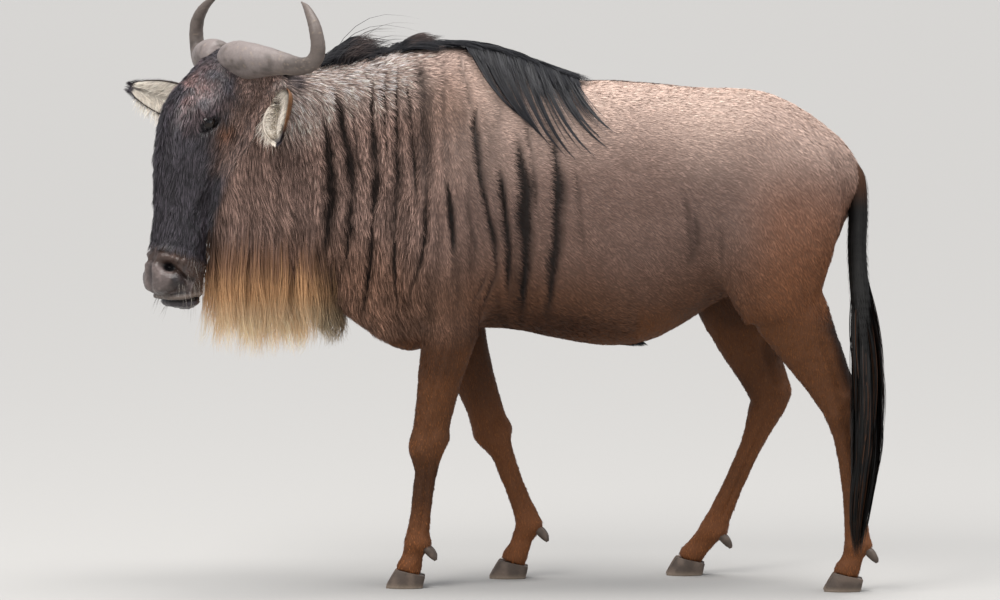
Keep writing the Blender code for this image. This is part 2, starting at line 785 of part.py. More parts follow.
def belly_locks(chance, collection):
    """The small tuft under a bull's belly."""
    locks = []
    for i, x in enumerate(np.linspace(0.262, 0.300, 3)):
        bottom = trunk_at(x)[1]
        rows = [
            (x - 0.012, 0.008 * (i - 1), bottom + 0.02),
            (x, 0.009 * (i - 1), bottom - 0.004),
            (x + 0.012, 0.010 * (i - 1), bottom - 0.016),
            (x + 0.024 + chance.uniform(0, 0.006), 0.010 * (i - 1), bottom - 0.024),
        ]
        locks.append(lock("belly", rows, 0.024, 0.014, np.array([0, 1.0, 0]), collection))
    return locks


def tail_locks(chance, collection):
    """Locks that leave the dock all round and down its length, out to the hair's own outline."""
    rows = smooth_rows(TUFT, 8)
    rings = path_rings(rows, 24)
    last = len(rows) - 1
    locks = []
    for i in range(TAIL_LOCKS):
        share = (i + 0.5) / TAIL_LOCKS
        start = 0.62 * share
        end = min(1.0, start + 0.40 + 0.10 * chance.random())
        turn = (i * 137.5) % 360 / 360 * 24
        path, out = [], None
        for along, reach in ((0.0, 0.30), (0.25, 0.78), (0.55, 0.98), (0.8, 1.0), (1.0, 0.90)):
            index = min(last, round((start + (end - start) * along) * last))
            middle = rows[index, :3]
            edge = rings[index][int(turn + 1.5 * along) % 24]
            path.append(middle + (edge - middle) * reach)
            out = edge - middle if out is None else out
        locks.append(lock("tail_lock", path, chance.uniform(0.020, 0.028), 0.011, unit(out), collection))
    return locks


def make_horn(side, collection):
    around = np.linspace(0, 2 * math.pi, 8, endpoint=False)
    rows = smooth_rows(HORN, 2)
    points = np.array([head_point(down, out, left * side) for left, down, out, _ in rows])
    tangents = np.gradient(points, axis=0)
    rings = []
    for point, tangent, radius in zip(points, tangents, rows[:, 3]):
        tangent = unit(tangent)
        up = unit(HEAD_OUT - tangent * np.dot(HEAD_OUT, tangent))
        other = np.cross(tangent, up)
        rings.append(point + radius * (np.outer(np.cos(around), up) * 1.05 + np.outer(np.sin(around), other)))
    return loft("horn_left" if side > 0 else "horn_right", rings, collection)


def make_ear(name, collection):
    """A leaf-shaped cup: each ring is an arc out along the back and home along the hollow."""
    (down, out, left), direction, opening = EARS[name]
    root = head_point(down, out, left)
    axis = unit(np.array(direction))
    front = np.array(opening)
    front = unit(front - axis * np.dot(front, axis))
    across = np.cross(axis, front)
    rings = []
    for share in np.linspace(0, 1, 10):
        half = 0.004 + 0.038 * math.sin(math.pi * min(1, share * 0.88 + 0.10)) ** 0.8
        cup = 0.026 * (1 - share) ** 0.6 + 0.004
        wall = 0.006 - 0.003 * share
        middle = root + axis * EAR_LENGTH * share + front * 0.012 * math.sin(math.pi * share)
        ring = []
        for angle in np.linspace(-1.75, 1.75, 7):
            ring.append(middle + across * half * math.sin(angle) - front * cup * math.cos(angle))
        for angle in np.linspace(1.60, -1.60, 7):
            ring.append(
                middle
                + across * (half - wall) * math.sin(angle)
                - front * (cup - wall) * math.cos(angle) * (0.3 if share < 0.05 else 1.0)
            )
        rings.append(ring)
    return loft("ear_" + name, rings, collection)


def claw_outline(count=12):
    """Half of a cloven hoof from above: x forward, y away from the cleft."""
    around = np.linspace(0, 2 * math.pi, count, endpoint=False)
    forward = 0.5 * CLAW_LENGTH * np.cos(around)
    aside = 0.5 * CLAW_WIDTH * power(np.sin(around), 0.85)
    aside *= 1 - 0.42 * np.clip(np.cos(around), 0, 1) ** 1.6
    aside = np.maximum(aside, -0.5 * CLAW_WIDTH * 0.80)
    return forward, aside


def coronet(forward):
    share = (forward + 0.5 * CLAW_LENGTH) / CLAW_LENGTH
    return HEEL_HEIGHT + (CLAW_HEIGHT - HEEL_HEIGHT) * share


def make_claw(leg, side, collection):
    sole = np.array(LEGS[leg][4])
    forward, aside = claw_outline()
    rings = []
    for share in (0.0, 0.12, 0.6, 1.0):
        slim = 1 - 0.12 * share
        back = -0.016 * share
        x = forward * (1 - 0.22 * share) + back
        y = aside * slim
        z = coronet(x) * share
        place_y = sole[1] + side * (0.0185 + y)
        rings.append(np.stack([sole[0] - x, place_y, z], axis=1))
    number = 1 if side < 0 else 2
    return loft(f"hoof_{leg}_{number}", rings, collection)


def make_dewclaw(leg, side, collection):
    fetlock = np.array(LEGS[leg][2])
    middle = fetlock + np.array([0.030, side * 0.016, -0.020])
    rows = [
        (*(middle + np.array([-0.012, 0, 0.010])), 0.0085, 0.0085),
        (*middle, 0.0105, 0.0105),
        (*(middle + np.array([0.010, side * 0.002, -0.012])), 0.0080, 0.0080),
        (*(middle + np.array([0.014, side * 0.003, -0.020])), 0.0035, 0.0035),
    ]
    number = 1 if side < 0 else 2
    return loft(f"dewclaw_{leg}_{number}", path_rings(rows, 8), collection)


def make_tail(chance, collection):
    rows = smooth_rows(TAIL, 3)
    rings = path_rings(np.column_stack([rows, rows[:, 3]]), 12)
    tail = loft("tail", rings, collection)
    core = np.array(TUFT)[:-1]
    core[:, 3:] *= 0.5
    pieces = [loft("tuft", path_rings(smooth_rows(core, 2), 10), collection)]
    boolean(tail, pieces + tail_locks(chance, collection), "UNION")
    return tail


# Each cut through the flesh: a point of it, its direction, and how far it reaches.
LEG_CUTS = {
    "fore_left": (0.530, 0.345, 0.128),
    "fore_right": (0.520, 0.352, 0.150),
    "hind_left": (0.660, 0.445, 0.130),
    "hind_right": (0.600, 0.430, 0.130),
}


def leg_point(name, height):
    joints = np.array(LEGS[name])
    return np.array([np.interp(height, joints[::-1, 2], joints[::-1, i]) for i in range(3)])


def cutters(collection):
    found = [
        box("cut_neck", (-0.300, 0, 0.95), (GAP, 0.9, 1.2), (1, 0, -0.06), collection),
        box("cut_head", (-0.478, -0.06, 0.95), (GAP, 0.5, 1.1), (0.94, 0.342, 0), collection),
    ]
    for name, heights in LEG_CUTS.items():
        for height in heights:
            point = leg_point(name, height)
            reach = 0.31 if name.startswith("hind") else 0.26
            found.append(box("cut_leg", point, (GAP, 0.24, reach), (0, 0, 1), collection))
        sole = np.array(LEGS[name][4])
        slope = (CLAW_HEIGHT - HEEL_HEIGHT) / CLAW_LENGTH
        normal = unit(np.array([slope, 0, 1.0]))
        middle = np.array([sole[0], sole[1], coronet(0.0) + GAP]) - normal * 0.05
        found.append(box("cut_sole", middle, (0.1, 0.16, 0.20), normal, collection))
    return found


def node_seeds():
    seeds = {
        "torso": (0.25, 0, 0.90),
        "neck": (-0.39, -0.02, 0.95),
        "head": tuple(head_point(0.22, 0.02, 0)),
    }
    for name, heights in LEG_CUTS.items():
        upper, knee, fetlock = heights
        seeds[f"leg_{name}_upper"] = tuple(leg_point(name, (upper + knee) / 2))
        seeds[f"leg_{name}_lower"] = tuple(leg_point(name, (knee + fetlock) / 2))
        seeds[f"foot_{name}"] = tuple(leg_point(name, (fetlock + 0.05) / 2))
    return seeds


def name_pieces(pieces):
    """Give each island the name of the seed nearest its middle, and drop what is left over."""
    seeds = node_seeds()
    kept = {}
    for piece in pieces:
        points = points_of(piece.data)
        middle = (points.min(axis=0) + points.max(axis=0)) / 2
        name = min(seeds, key=lambda key: np.linalg.norm(middle - np.array(seeds[key])))
        if name in kept:
            delete(piece)
            continue
        kept[name] = piece
        piece.name = name
        piece.data.name = name
    return kept


def main():
    for obj in list(bpy.data.objects):
        bpy.data.objects.remove(obj)
    parts = new_collection("wildebeest")
    helpers = new_collection("helpers", hidden=True)
    chance = random.Random(SEED)

    flesh = make_flesh(helpers)
    plain = grown(flesh, "plain_flesh", GAP, helpers)
    tree = BVHTree.FromPolygons(
        [tuple(p) for p in points_of(flesh.data)], [tuple(f.vertices) for f in flesh.data.polygons]
    )
    hair = mane_locks(tree, chance, helpers) + beard_locks(chance, helpers) + belly_locks(chance, helpers)
    boolean(flesh, hair, "UNION")
    finished = {}
    for side, name in ((1, "left"), (-1, "right")):
        eye_middle = head_point(EYE_PLACE[0], EYE_PLACE[1], EYE_PLACE[2] * side)
        socket = sphere("socket", eye_middle, EYE_RADIUS + GAP, helpers)
        boolean(flesh, [socket], "DIFFERENCE")
        finished["eye_" + name] = sphere("eye_" + name, eye_middle, EYE_RADIUS, helpers)
        horn = make_horn(side, helpers)
        ear = make_ear(name, helpers)
        boolean(horn, [grown(plain, "skin", 0, helpers)], "DIFFERENCE")
        horn = largest(horn, helpers)
        boolean(ear, [grown(plain, "skin", 0, helpers)], "DIFFERENCE")
        ear = largest(ear, helpers)
        boolean(flesh, [grown(horn, "room", GAP, helpers)], "DIFFERENCE")
        boolean(flesh, [grown(ear, "room", GAP, helpers)], "DIFFERENCE")
        finished["horn_" + name] = horn
        finished["ear_" + name] = ear
    tail = make_tail(chance, helpers)
    boolean(tail, [grown(plain, "skin", 0, helpers)], "DIFFERENCE")
    finished["tail"] = largest(tail, helpers)

    for leg in LEGS:
        for side in (-1, 1):
            claw = make_claw(leg, side, helpers)
            finished[claw.name] = claw
            dewclaw = make_dewclaw(leg, side, helpers)
            boolean(dewclaw, [grown(plain, "skin", 0, helpers)], "DIFFERENCE")
            dewclaw = largest(dewclaw, helpers)
            finished[dewclaw.name] = dewclaw

    for cutter in cutters(helpers):
        boolean(flesh, [cutter], "DIFFERENCE")
    finished.update(name_pieces(islands(flesh, helpers)))
    delete(plain)

    looks = {name: material(name, colour, 0.7) for name, colour in COLOURS.items()}
    for name, obj in finished.items():
        obj.name = name
        obj.data.name = name
        for parent in list(obj.users_collection):
            parent.objects.unlink(obj)
        parts.objects.link(obj)
        points = points_of(obj.data)
        points[:, 1] += CENTRE_Y
        move_points(obj.data, points)
        obj.data.materials.clear()
        kind = name.split("_")[0]
        look = {"head": "face", "tail": "hair", "leg": "leg", "foot": "leg", "horn": "horn",
                "hoof": "hoof", "dewclaw": "hoof", "eye": "eye"}.get(kind, "coat")
        obj.data.materials.append(looks[look])


main()
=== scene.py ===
"""The looks of a walking blue wildebeest bull: skin, coat, mane, beard, tail, horns, hooves, eyes.

Shapes are built in the same places as the solids, in metres with +Z up, and then moved SIDEWAYS to
the middle of the frame. The skin lies inside the solids by the coat's depth, and the coat is mesh
tufts over it. Every piece carries its colours on its points, as the attribute "tint".
"""

import math

import bmesh
import bpy
import numpy as np
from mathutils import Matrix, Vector
from mathutils.bvhtree import BVHTree


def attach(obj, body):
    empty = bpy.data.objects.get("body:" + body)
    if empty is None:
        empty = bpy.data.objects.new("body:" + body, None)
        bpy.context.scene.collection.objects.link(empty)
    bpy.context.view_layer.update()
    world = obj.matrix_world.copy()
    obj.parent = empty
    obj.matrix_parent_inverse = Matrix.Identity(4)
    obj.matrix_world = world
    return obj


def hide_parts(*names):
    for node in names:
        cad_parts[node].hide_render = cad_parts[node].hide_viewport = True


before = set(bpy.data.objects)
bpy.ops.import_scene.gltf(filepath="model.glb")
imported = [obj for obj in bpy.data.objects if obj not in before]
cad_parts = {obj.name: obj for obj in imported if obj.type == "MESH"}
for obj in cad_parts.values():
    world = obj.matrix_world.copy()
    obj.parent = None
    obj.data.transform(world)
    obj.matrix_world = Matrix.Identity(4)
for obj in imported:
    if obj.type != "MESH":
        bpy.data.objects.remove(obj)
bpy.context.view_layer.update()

# Sizes shared with the solids, in metres and radians.
SIDEWAYS = np.array([0.0, 0.027, 0.0])
GIRTH = 0.93
TRUNK_VOXEL = 0.009
TRUNK_SMOOTHING = 16
HEAD_TURN = math.radians(35.0)
HEAD_TILT = math.radians(19.0)
POLL = np.array([-0.632, -0.08, 1.24])
EYE_RADIUS = 0.021
EYE_PLACE = (0.172, 0.078, 0.069)
EYE_ALMOND = (0.0150, 0.0070)
EYE_INSET = 0.0030
EAR_LENGTH = 0.215
CLAW_HEIGHT = 0.050
HEEL_HEIGHT = 0.030
CLAW_LENGTH = 0.088
CLAW_WIDTH = 0.034
CLAW_APART = 0.0185
BEARD_TIP = 0.540

# Sizes of the looks alone.
SEED = 5
SKIN_VOXEL = 0.0060
SKIN_SMOOTHING = 8
# The size of one hair's own patch in its piece's texture map, where the whole map is 1.
PATCH = 0.003
CREST_STRANDS = 3800
BEARD_LOCKS = 160
BEARD_STRANDS = 44
# The least distance of the beard's locks from the skin, and the step that spreads them evenly.
BEARD_GAP = 0.008
GOLDEN_SHARE = 0.618
TAIL_LOCKS = 190
TAIL_STRANDS = 28
SHORT_HAIRS = 2600
BELLY_HAIRS = 1100
LASHES = 46
MOUTH_HAIRS = 90
# Points along and around meshes, and the columns of an ear's two hairy edges.
EAR_ROWS, EAR_COLUMNS, EAR_MIDDLE = 34, 19, 9
EAR_EDGES = ((0, 8), (11, 19))
HORN_COLUMNS = 40
DOCK_COLUMNS = 24
TUFT_COLUMNS = 36
# Tufts in each piece of the coat. The places of the head's and the legs' pieces have names.
COAT_TUFTS = {
    "head": 45000,
    "neck_left": 63000,
    "neck_right": 38000,
    "shoulder": 55000,
    "barrel": 47000,
    "haunch": 46000,
    "legs": 48000,
}
HEAD_ZONE, LEG_ZONE = 0, 6

# Looks: roughness, shine, size and strength of the grain, and depth of its relief in metres.
LOOKS = {
    "hide": (0.75, 0.25, 260.0, 0.25, 0.0012),
    "nose_skin": (0.40, 0.45, 700.0, 0.10, 0.0005),
    "short_hair": (0.62, 0.12, 90.0, 0.12),
    "face_hair": (0.40, 0.45, 90.0, 0.12),
    "long_hair": (0.45, 0.16, 60.0, 0.10),
    "horn_shell": (0.48, 0.32, 220.0, 0.22, 0.0006),
    "hoof_wall": (0.50, 0.35, 160.0, 0.25, 0.0008),
    "eye_wet": (0.05, 0.35, 200.0, 0.05),
}

# The camera looks along +Y and a little down. The picture is 2.36 mm to a pixel of the photo.
CAMERA_TARGET = Vector((-0.019, 0.027, 0.67))
CAMERA_DISTANCE = 16.0
CAMERA_FALL = math.radians(5.0)
SENSOR_WIDTH = 36.0
PICTURE_WIDTH = 2.36
LIGHT_TARGET = Vector((0, 0, 0.7))
# Lights: name, kind, place, size in metres or a sun's width in radians, power and colour.
LIGHTS = (
    ("key", "AREA", (-2.5, -3.5, 5.0), 3.0, 240, (1.0, 0.97, 0.94)),
    ("top", "SUN", (0.9, 0.2, 5.5), math.radians(45), 4.3, (1.0, 0.98, 0.96)),
    ("fill", "AREA", (4.0, -4.0, 1.8), 3.5, 40, (0.93, 0.96, 1.0)),
)
FLOOR_HALF = 90
FLOOR_COLOUR = (0.34, 0.335, 0.325, 1)
SKY_COLOUR = (0.93, 0.95, 1.0, 1)
SKY_STRENGTH = 0.68

UP = np.array([0.0, 0.0, 1.0])
# The head's own directions: level ahead, to its left, down the face to the muzzle, and out of it.
HEAD_FORWARD = np.array([-math.cos(HEAD_TURN), -math.sin(HEAD_TURN), 0.0])
HEAD_LEFT = np.array([math.sin(HEAD_TURN), -math.cos(HEAD_TURN), 0.0])
HEAD_DOWN = HEAD_FORWARD * math.sin(HEAD_TILT) - UP * math.cos(HEAD_TILT)
HEAD_OUT = HEAD_FORWARD * math.cos(HEAD_TILT) + UP * math.sin(HEAD_TILT)

# Trunk and neck, tail end first: x, top, bottom, half width, middle y, height of the widest part.
TRUNK = (
    (0.835, 0.985, 0.905, 0.040, 0.000, 0.50),
    (0.807, 1.030, 0.875, 0.080, 0.000, 0.50),
    (0.775, 1.062, 0.810, 0.125, 0.000, 0.50),
    (0.732, 1.098, 0.725, 0.168, 0.000, 0.50),
    (0.666, 1.140, 0.700, 0.200, 0.000, 0.50),
    (0.583, 1.170, 0.690, 0.222, 0.000, 0.50),
    (0.500, 1.174, 0.668, 0.232, 0.000, 0.48),
    (0.430, 1.178, 0.622, 0.243, 0.000, 0.47),
    (0.335, 1.186, 0.573, 0.249, 0.000, 0.46),
    (0.241, 1.193, 0.560, 0.250, 0.000, 0.45),
    (0.146, 1.196, 0.572, 0.243, 0.000, 0.44),
    (0.052, 1.234, 0.592, 0.228, 0.000, 0.42),
    (-0.019, 1.258, 0.603, 0.212, 0.000, 0.40),
    (-0.090, 1.271, 0.597, 0.198, 0.000, 0.39),
    (-0.160, 1.273, 0.566, 0.186, 0.000, 0.40),
    (-0.231, 1.268, 0.545, 0.172, 0.000, 0.42),
    (-0.290, 1.254, 0.565, 0.160, -0.004, 0.43),
    (-0.349, 1.240, 0.612, 0.146, -0.010, 0.45),
    (-0.408, 1.228, 0.650, 0.134, -0.020, 0.47),
    (-0.467, 1.220, 0.684, 0.122, -0.037, 0.48),
    (-0.526, 1.214, 0.716, 0.111, -0.058, 0.49),
    (-0.585, 1.204, 0.746, 0.099, -0.085, 0.50),
    (-0.632, 1.158, 0.764, 0.088, -0.108, 0.50),
    (-0.668, 1.085, 0.776, 0.066, -0.126, 0.50),
    (-0.698, 0.995, 0.822, 0.034, -0.142, 0.50),
)
# Head: down the face from the poll, middle along the outward direction, half depth, half width.
HEAD = (
    (-0.030, -0.018, 0.034, 0.046),
    (-0.018, -0.016, 0.062, 0.070),
    (0.015, -0.008, 0.088, 0.084),
    (0.070, 0.012, 0.108, 0.090),
    (0.130, 0.030, 0.118, 0.092),
    (0.190, 0.040, 0.112, 0.086),
    (0.250, 0.046, 0.100, 0.072),
    (0.320, 0.044, 0.084, 0.060),
    (0.390, 0.034, 0.072, 0.054),
    (0.450, 0.022, 0.067, 0.055),
    (0.500, 0.010, 0.068, 0.060),
    (0.540, 0.003, 0.066, 0.063),
    (0.570, -0.006, 0.058, 0.060),
    (0.586, -0.014, 0.043, 0.050),
    (0.596, -0.020, 0.026, 0.030),
)
# Legs: place along the joints, half depth fore and aft, half width.
FORE_PROFILE = (
    (0.00, 0.074, 0.060),
    (0.45, 0.053, 0.049),
    (0.70, 0.047, 0.043),
    (0.90, 0.044, 0.039),
    (1.00, 0.044, 0.039),
    (1.17, 0.034, 0.031),
    (1.37, 0.027, 0.023),
    (1.67, 0.026, 0.021),
    (1.87, 0.029, 0.024),
    (2.00, 0.033, 0.029),
    (2.45, 0.029, 0.027),
    (3.00, 0.033, 0.031),
    (3.30, 0.033, 0.031),
)
HIND_PROFILE = (
    (-0.12, 0.060, 0.056),
    (0.00, 0.094, 0.074),
    (0.35, 0.083, 0.064),
    (0.60, 0.068, 0.050),
    (0.85, 0.052, 0.040),
    (1.00, 0.046, 0.036),
    (1.15, 0.036, 0.031),
    (1.35, 0.028, 0.024),
    (1.65, 0.026, 0.022),
    (1.87, 0.030, 0.025),
    (2.00, 0.034, 0.029),
    (2.50, 0.029, 0.027),
    (3.00, 0.033, 0.031),
    (3.30, 0.033, 0.031),
)
# Each leg's joints: top, knee or hock, fetlock, coronet, and the middle of the sole.
LEGS = {
    "fore_left": ((-0.135, -0.125, 0.620), (-0.188, -0.112, 0.340), (-0.214, -0.102, 0.106),
                  (-0.232, -0.100, 0.050), (-0.245, -0.100, 0.0)),
    "fore_right": ((-0.125, 0.125, 0.600), (-0.036, 0.095, 0.348), (0.050, 0.082, 0.128),
                   (0.016, 0.080, 0.050), (-0.002, 0.080, 0.0)),
    "hind_left": ((0.640, -0.150, 0.690), (0.782, -0.155, 0.440), (0.820, -0.160, 0.108),
                  (0.795, -0.160, 0.050), (0.782, -0.160, 0.0)),
    "hind_right": ((0.530, 0.140, 0.670), (0.630, 0.145, 0.425), (0.488, 0.140, 0.105),
                   (0.440, 0.140, 0.050), (0.420, 0.140, 0.0)),
}
# Muscles over the leg tops: x, y, z, half depth, half width down the path, on the left side.
SHOULDER = (
    (-0.045, 0.085, 1.120, 0.060, 0.050),
    (-0.085, 0.128, 1.000, 0.105, 0.062),
    (-0.150, 0.142, 0.860, 0.120, 0.066),
    (-0.165, 0.145, 0.750, 0.105, 0.064),
    (-0.135, 0.132, 0.640, 0.078, 0.058),
    (-0.140, 0.125, 0.560, 0.058, 0.052),
)
THIGH = (
    (0.600, 0.100, 1.060, 0.090, 0.060),
    (0.630, 0.145, 0.950, 0.150, 0.075),
    (0.622, 0.158, 0.830, 0.150, 0.082),
    (0.625, 0.160, 0.720, 0.122, 0.080),
    (0.642, 0.155, 0.640, 0.095, 0.070),
)
TAIL = (
    (0.770, -0.005, 0.995, 0.030),
    (0.812, -0.015, 0.965, 0.028),
    (0.822, -0.045, 0.890, 0.025),
    (0.818, -0.100, 0.790, 0.024),
    (0.823, -0.165, 0.680, 0.024),
    (0.832, -0.215, 0.570, 0.022),
    (0.838, -0.242, 0.460, 0.019),
    (0.833, -0.250, 0.350, 0.012),
)
# The tail's hair below the dock: x, y, z, half depth, half width.
TUFT = (
    (0.820, -0.080, 0.820, 0.026, 0.024),
    (0.822, -0.150, 0.700, 0.034, 0.028),
    (0.830, -0.205, 0.590, 0.044, 0.030),
    (0.838, -0.240, 0.480, 0.043, 0.029),
    (0.835, -0.252, 0.360, 0.041, 0.028),
    (0.826, -0.254, 0.260, 0.030, 0.024),
    (0.818, -0.252, 0.170, 0.022, 0.018),
    (0.815, -0.250, 0.085, 0.009, 0.008),
)
# Horn: out to the side, down the face, out of the face, radius.
HORN = (
    (0.010, 0.004, 0.034, 0.018),
    (0.018, 0.005, 0.034, 0.033),
    (0.034, 0.006, 0.034, 0.042),
    (0.060, 0.006, 0.030, 0.045),
    (0.092, 0.003, 0.019, 0.042),
    (0.130, -0.002, 0.002, 0.034),
    (0.170, -0.005, -0.018, 0.026),
    (0.207, -0.005, -0.032, 0.0215),
    (0.238, -0.014, -0.041, 0.0190),
    (0.256, -0.034, -0.042, 0.0175),
    (0.262, -0.058, -0.034, 0.0165),
    (0.258, -0.082, -0.024, 0.0155),
    (0.248, -0.103, -0.017, 0.0140),
    (0.230, -0.123, -0.012, 0.0115),
    (0.207, -0.141, -0.010, 0.0076),
    (0.181, -0.153, -0.010, 0.0020),
)
EARS = {
    "left": ((0.050, -0.088, 0.086), (-0.02, -0.88, -0.46), (-0.62, -0.66, 0.40)),
    "right": ((0.124, -0.020, -0.078), (-0.93, 0.28, 0.26), (-0.25, -0.85, 0.10)),
}
# Levels up a hoof's wall, and a dewclaw's rows: back, aside, up, radius.
CLAW_LEVELS = (0.0, 0.03, 0.07, 0.13, 0.2, 0.3, 0.4, 0.5, 0.6, 0.7, 0.8, 0.88, 0.95, 1.0)
DEWCLAW = (
    (-0.012, 0.000, 0.010, 0.0085),
    (0.000, 0.000, 0.000, 0.0105),
    (0.010, 0.002, -0.012, 0.0080),
    (0.014, 0.003, -0.020, 0.0035),
)

# Forms of the head: height, place down, out and aside, and spread in the same directions.
FACE_FORMS = (
    (0.0085, (0.135, 0.090, 0.082), (0.018, 0.026, 0.03)),
    (-0.0060, (0.215, 0.105, 0.060), (0.022, 0.018, 0.02)),
    (-0.0090, (0.095, 0.115, 0.055), (0.050, 0.035, 0.03)),
    (0.0060, (0.290, 0.040, 0.068), (0.060, 0.016, 0.02)),
    (-0.0050, (0.350, 0.085, 0.050), (0.060, 0.014, 0.02)),
)
MUZZLE_FORMS = (
    (0.0110, (0.538, 0.030, 0.050), (0.014, 0.015, 0.014)),
    (0.0045, (0.562, 0.045, 0.018), (0.012, 0.018, 0.018)),
    (-0.0050, (0.540, 0.065, 0.000), (0.022, 0.025, 0.0055)),
    (0.0085, (0.497, 0.046, 0.042), (0.0075, 0.020, 0.018)),
    (-0.0045, (0.482, 0.055, 0.030), (0.0045, 0.030, 0.030)),
    (0.0040, (0.516, 0.072, 0.018), (0.014, 0.010, 0.009)),
    (-0.0260, (0.518, 0.050, 0.036), (0.0075, 0.0120, 0.0105)),
    (-0.0036, (0.560, -0.030, 0.060), (0.012, 0.014, 0.020)),
)
# Hollows and rises of the trunk: height, x and its spread, z and its spread, least distance aside.
TRUNK_FORMS = (
    (-0.012, 0.460, 0.050, 0.880, 0.130, 0.08),
    (0.006, 0.555, 0.035, 1.075, 0.030, 0.06),
    (-0.005, 0.705, 0.030, 0.980, 0.120, 0.06),
    (0.006, -0.055, 0.030, 0.690, 0.030, 0.06),
)
# Bones and muscles of the legs: height, face of the leg, place above knee or hock, and spread.
FORE_FORMS = (
    (0.0060, "ahead", -0.012, 0.032),
    (0.0050, "aside", -0.020, 0.020),
    (-0.0030, "ahead", -0.070, 0.018),
    (0.0060, "behind", 0.012, 0.020),
    (0.0030, "ahead", 0.170, 0.060),
)
HIND_FORMS = (
    (0.0075, "ahead", -0.015, 0.050),
    (0.0050, "behind", 0.015, 0.018),
    (0.0040, "aside", -0.030, 0.022),
)

# Mane: where its wisps end on the near side, from the first wisp to the last: share, x, z.
MANE_ENDS = (
    (0.00, 0.011, 1.125),
    (0.15, 0.051, 1.090),
    (0.35, 0.102, 1.038),
    (0.55, 0.144, 1.026),
    (0.75, 0.207, 1.047),
    (1.00, 0.266, 1.078),
)
MANE_START, MANE_STOP = -0.100, 0.152
# Where a strand turns down, as shares of its way from root to tip in x and in z.
MANE_TURN = np.array([0.36, 0.66])
MANE_POINTS = 10
# The mane's locks: side or 0 for the top, how many, strands in each, reach, spread and gathering.
MANE_SETS = (
    (-1, 10, 60, (0.98, 1.28), 0.0060, 0.95),
    (-1, 44, 44, (0.18, 0.42), 0.0120, 0.72),
    (-1, 70, 4, (0.50, 1.25), 0.0050, 0.60),
    (1, 5, 80, (0.50, 0.90), 0.0120, 0.90),
    (1, 44, 40, (0.18, 0.46), 0.0140, 0.60),
    (0, 54, 44, (1.0, 1.0), 0.0180, 0.50),
)

# Dark folds down neck and side, the coat's dark stripes with painted shade in the creases: x at the
# top, middle and foot, z at the top and foot, half width and darkness.
FOLDS = (
    (-0.464, -0.459, -0.464, 1.125, 0.884, 0.0070, 0.35),
    (-0.434, -0.417, -0.448, 1.111, 0.774, 0.0152, 0.95),
    (-0.406, -0.369, -0.394, 1.153, 0.760, 0.0140, 0.85),
    (-0.369, -0.355, -0.341, 1.125, 0.970, 0.0070, 0.60),
    (-0.324, -0.313, -0.341, 1.172, 0.685, 0.0117, 0.95),
    (-0.296, -0.292, -0.285, 1.209, 1.031, 0.0065, 0.75),
    (-0.268, -0.261, -0.264, 1.200, 0.713, 0.0098, 0.85),
    (-0.222, -0.200, -0.192, 1.258, 0.949, 0.0235, 0.48),
    (-0.243, -0.226, -0.212, 1.190, 0.940, 0.0085, 0.80),
    (-0.191, -0.194, -0.231, 0.977, 0.706, 0.0075, 0.60),
    (-0.156, -0.154, -0.142, 1.235, 1.038, 0.0082, 0.35),
    (-0.117, -0.105, -0.089, 1.263, 1.127, 0.0058, 0.40),
    (-0.077, -0.077, -0.061, 1.127, 0.944, 0.0075, 0.75),
    (-0.063, -0.042, -0.031, 0.958, 0.762, 0.0075, 0.85),
    (-0.142, -0.133, -0.133, 0.963, 0.804, 0.0065, 0.80),
    (-0.098, -0.089, -0.079, 0.930, 0.804, 0.0047, 0.35),
    (-0.019, -0.005, -0.003, 0.977, 0.710, 0.0098, 0.90),
    (0.023, 0.039, 0.030, 1.038, 0.678, 0.0152, 1.00),
    (0.042, 0.053, 0.070, 1.113, 0.870, 0.0065, 0.55),
    (0.100, 0.109, 0.091, 1.066, 0.678, 0.0128, 1.00),
    (0.151, 0.165, 0.170, 0.987, 0.809, 0.0056, 0.40),
    (-0.024, -0.038, -0.061, 0.776, 0.678, 0.0070, 0.60),
    (-0.052, -0.061, -0.084, 0.753, 0.687, 0.0056, 0.45),
    (0.410, 0.419, 0.415, 0.930, 0.776, 0.0070, 0.30),
    (0.433, 0.436, 0.419, 0.888, 0.776, 0.0075, 0.34),
    (0.492, 0.496, 0.494, 0.860, 0.771, 0.0061, 0.32),
)


def srgb(red, green, blue):
    """A screen colour, 0 to 255, as the linear colour that a shader takes."""
    share = np.array([red, green, blue]) / 255
    return np.where(share <= 0.04045, share / 12.92, ((share + 0.055) / 1.055) ** 2.4)


# Back, side, low side and belly, from pale to dark: partly the coat's own tone, partly painted light on
# the back and painted shade on the low sides and belly.
BACK_COLOUR = srgb(204, 178, 164)
SIDE_COLOUR = srgb(132, 108, 98)
LOW_COLOUR = srgb(106, 74, 56)
BELLY_COLOUR = srgb(70, 44, 30)
NECK_COLOUR = srgb(130, 106, 96)
NECK_TIP_COLOUR = srgb(208, 186, 175)
THROAT_COLOUR = srgb(124, 94, 78)
# Near-black of the coat's stripes, also laid in the folds as painted shade.
FOLD_COLOUR = srgb(25, 18, 15)
LEG_COLOUR = srgb(112, 70, 41)
LEG_DARK_COLOUR = srgb(64, 39, 23)
PASTERN_COLOUR = srgb(146, 90, 52)
FACE_COLOUR = srgb(53, 49, 54)
FOREHEAD_COLOUR = srgb(116, 88, 84)
EYE_PATCH_COLOUR = srgb(84, 65, 57)
MUZZLE_COLOUR = srgb(60, 46, 40)
NOSE_COLOUR = srgb(98, 87, 84)
LIP_COLOUR = srgb(104, 92, 84)
MANE_COLOUR = srgb(20, 20, 24)
TAIL_COLOUR = srgb(13, 12, 11)
BEARD_ROOT_COLOUR = srgb(136, 102, 80)
BEARD_COLOUR = srgb(202, 156, 112)
BEARD_TIP_COLOUR = srgb(242, 220, 182)
EAR_HAIR_COLOUR = srgb(238, 228, 214)
EAR_COLOUR = srgb(116, 82, 56)
HORN_BOSS_COLOUR = srgb(118, 109, 106)
HORN_COLOUR = srgb(97, 88, 83)
HORN_TIP_COLOUR = srgb(101, 94, 92)
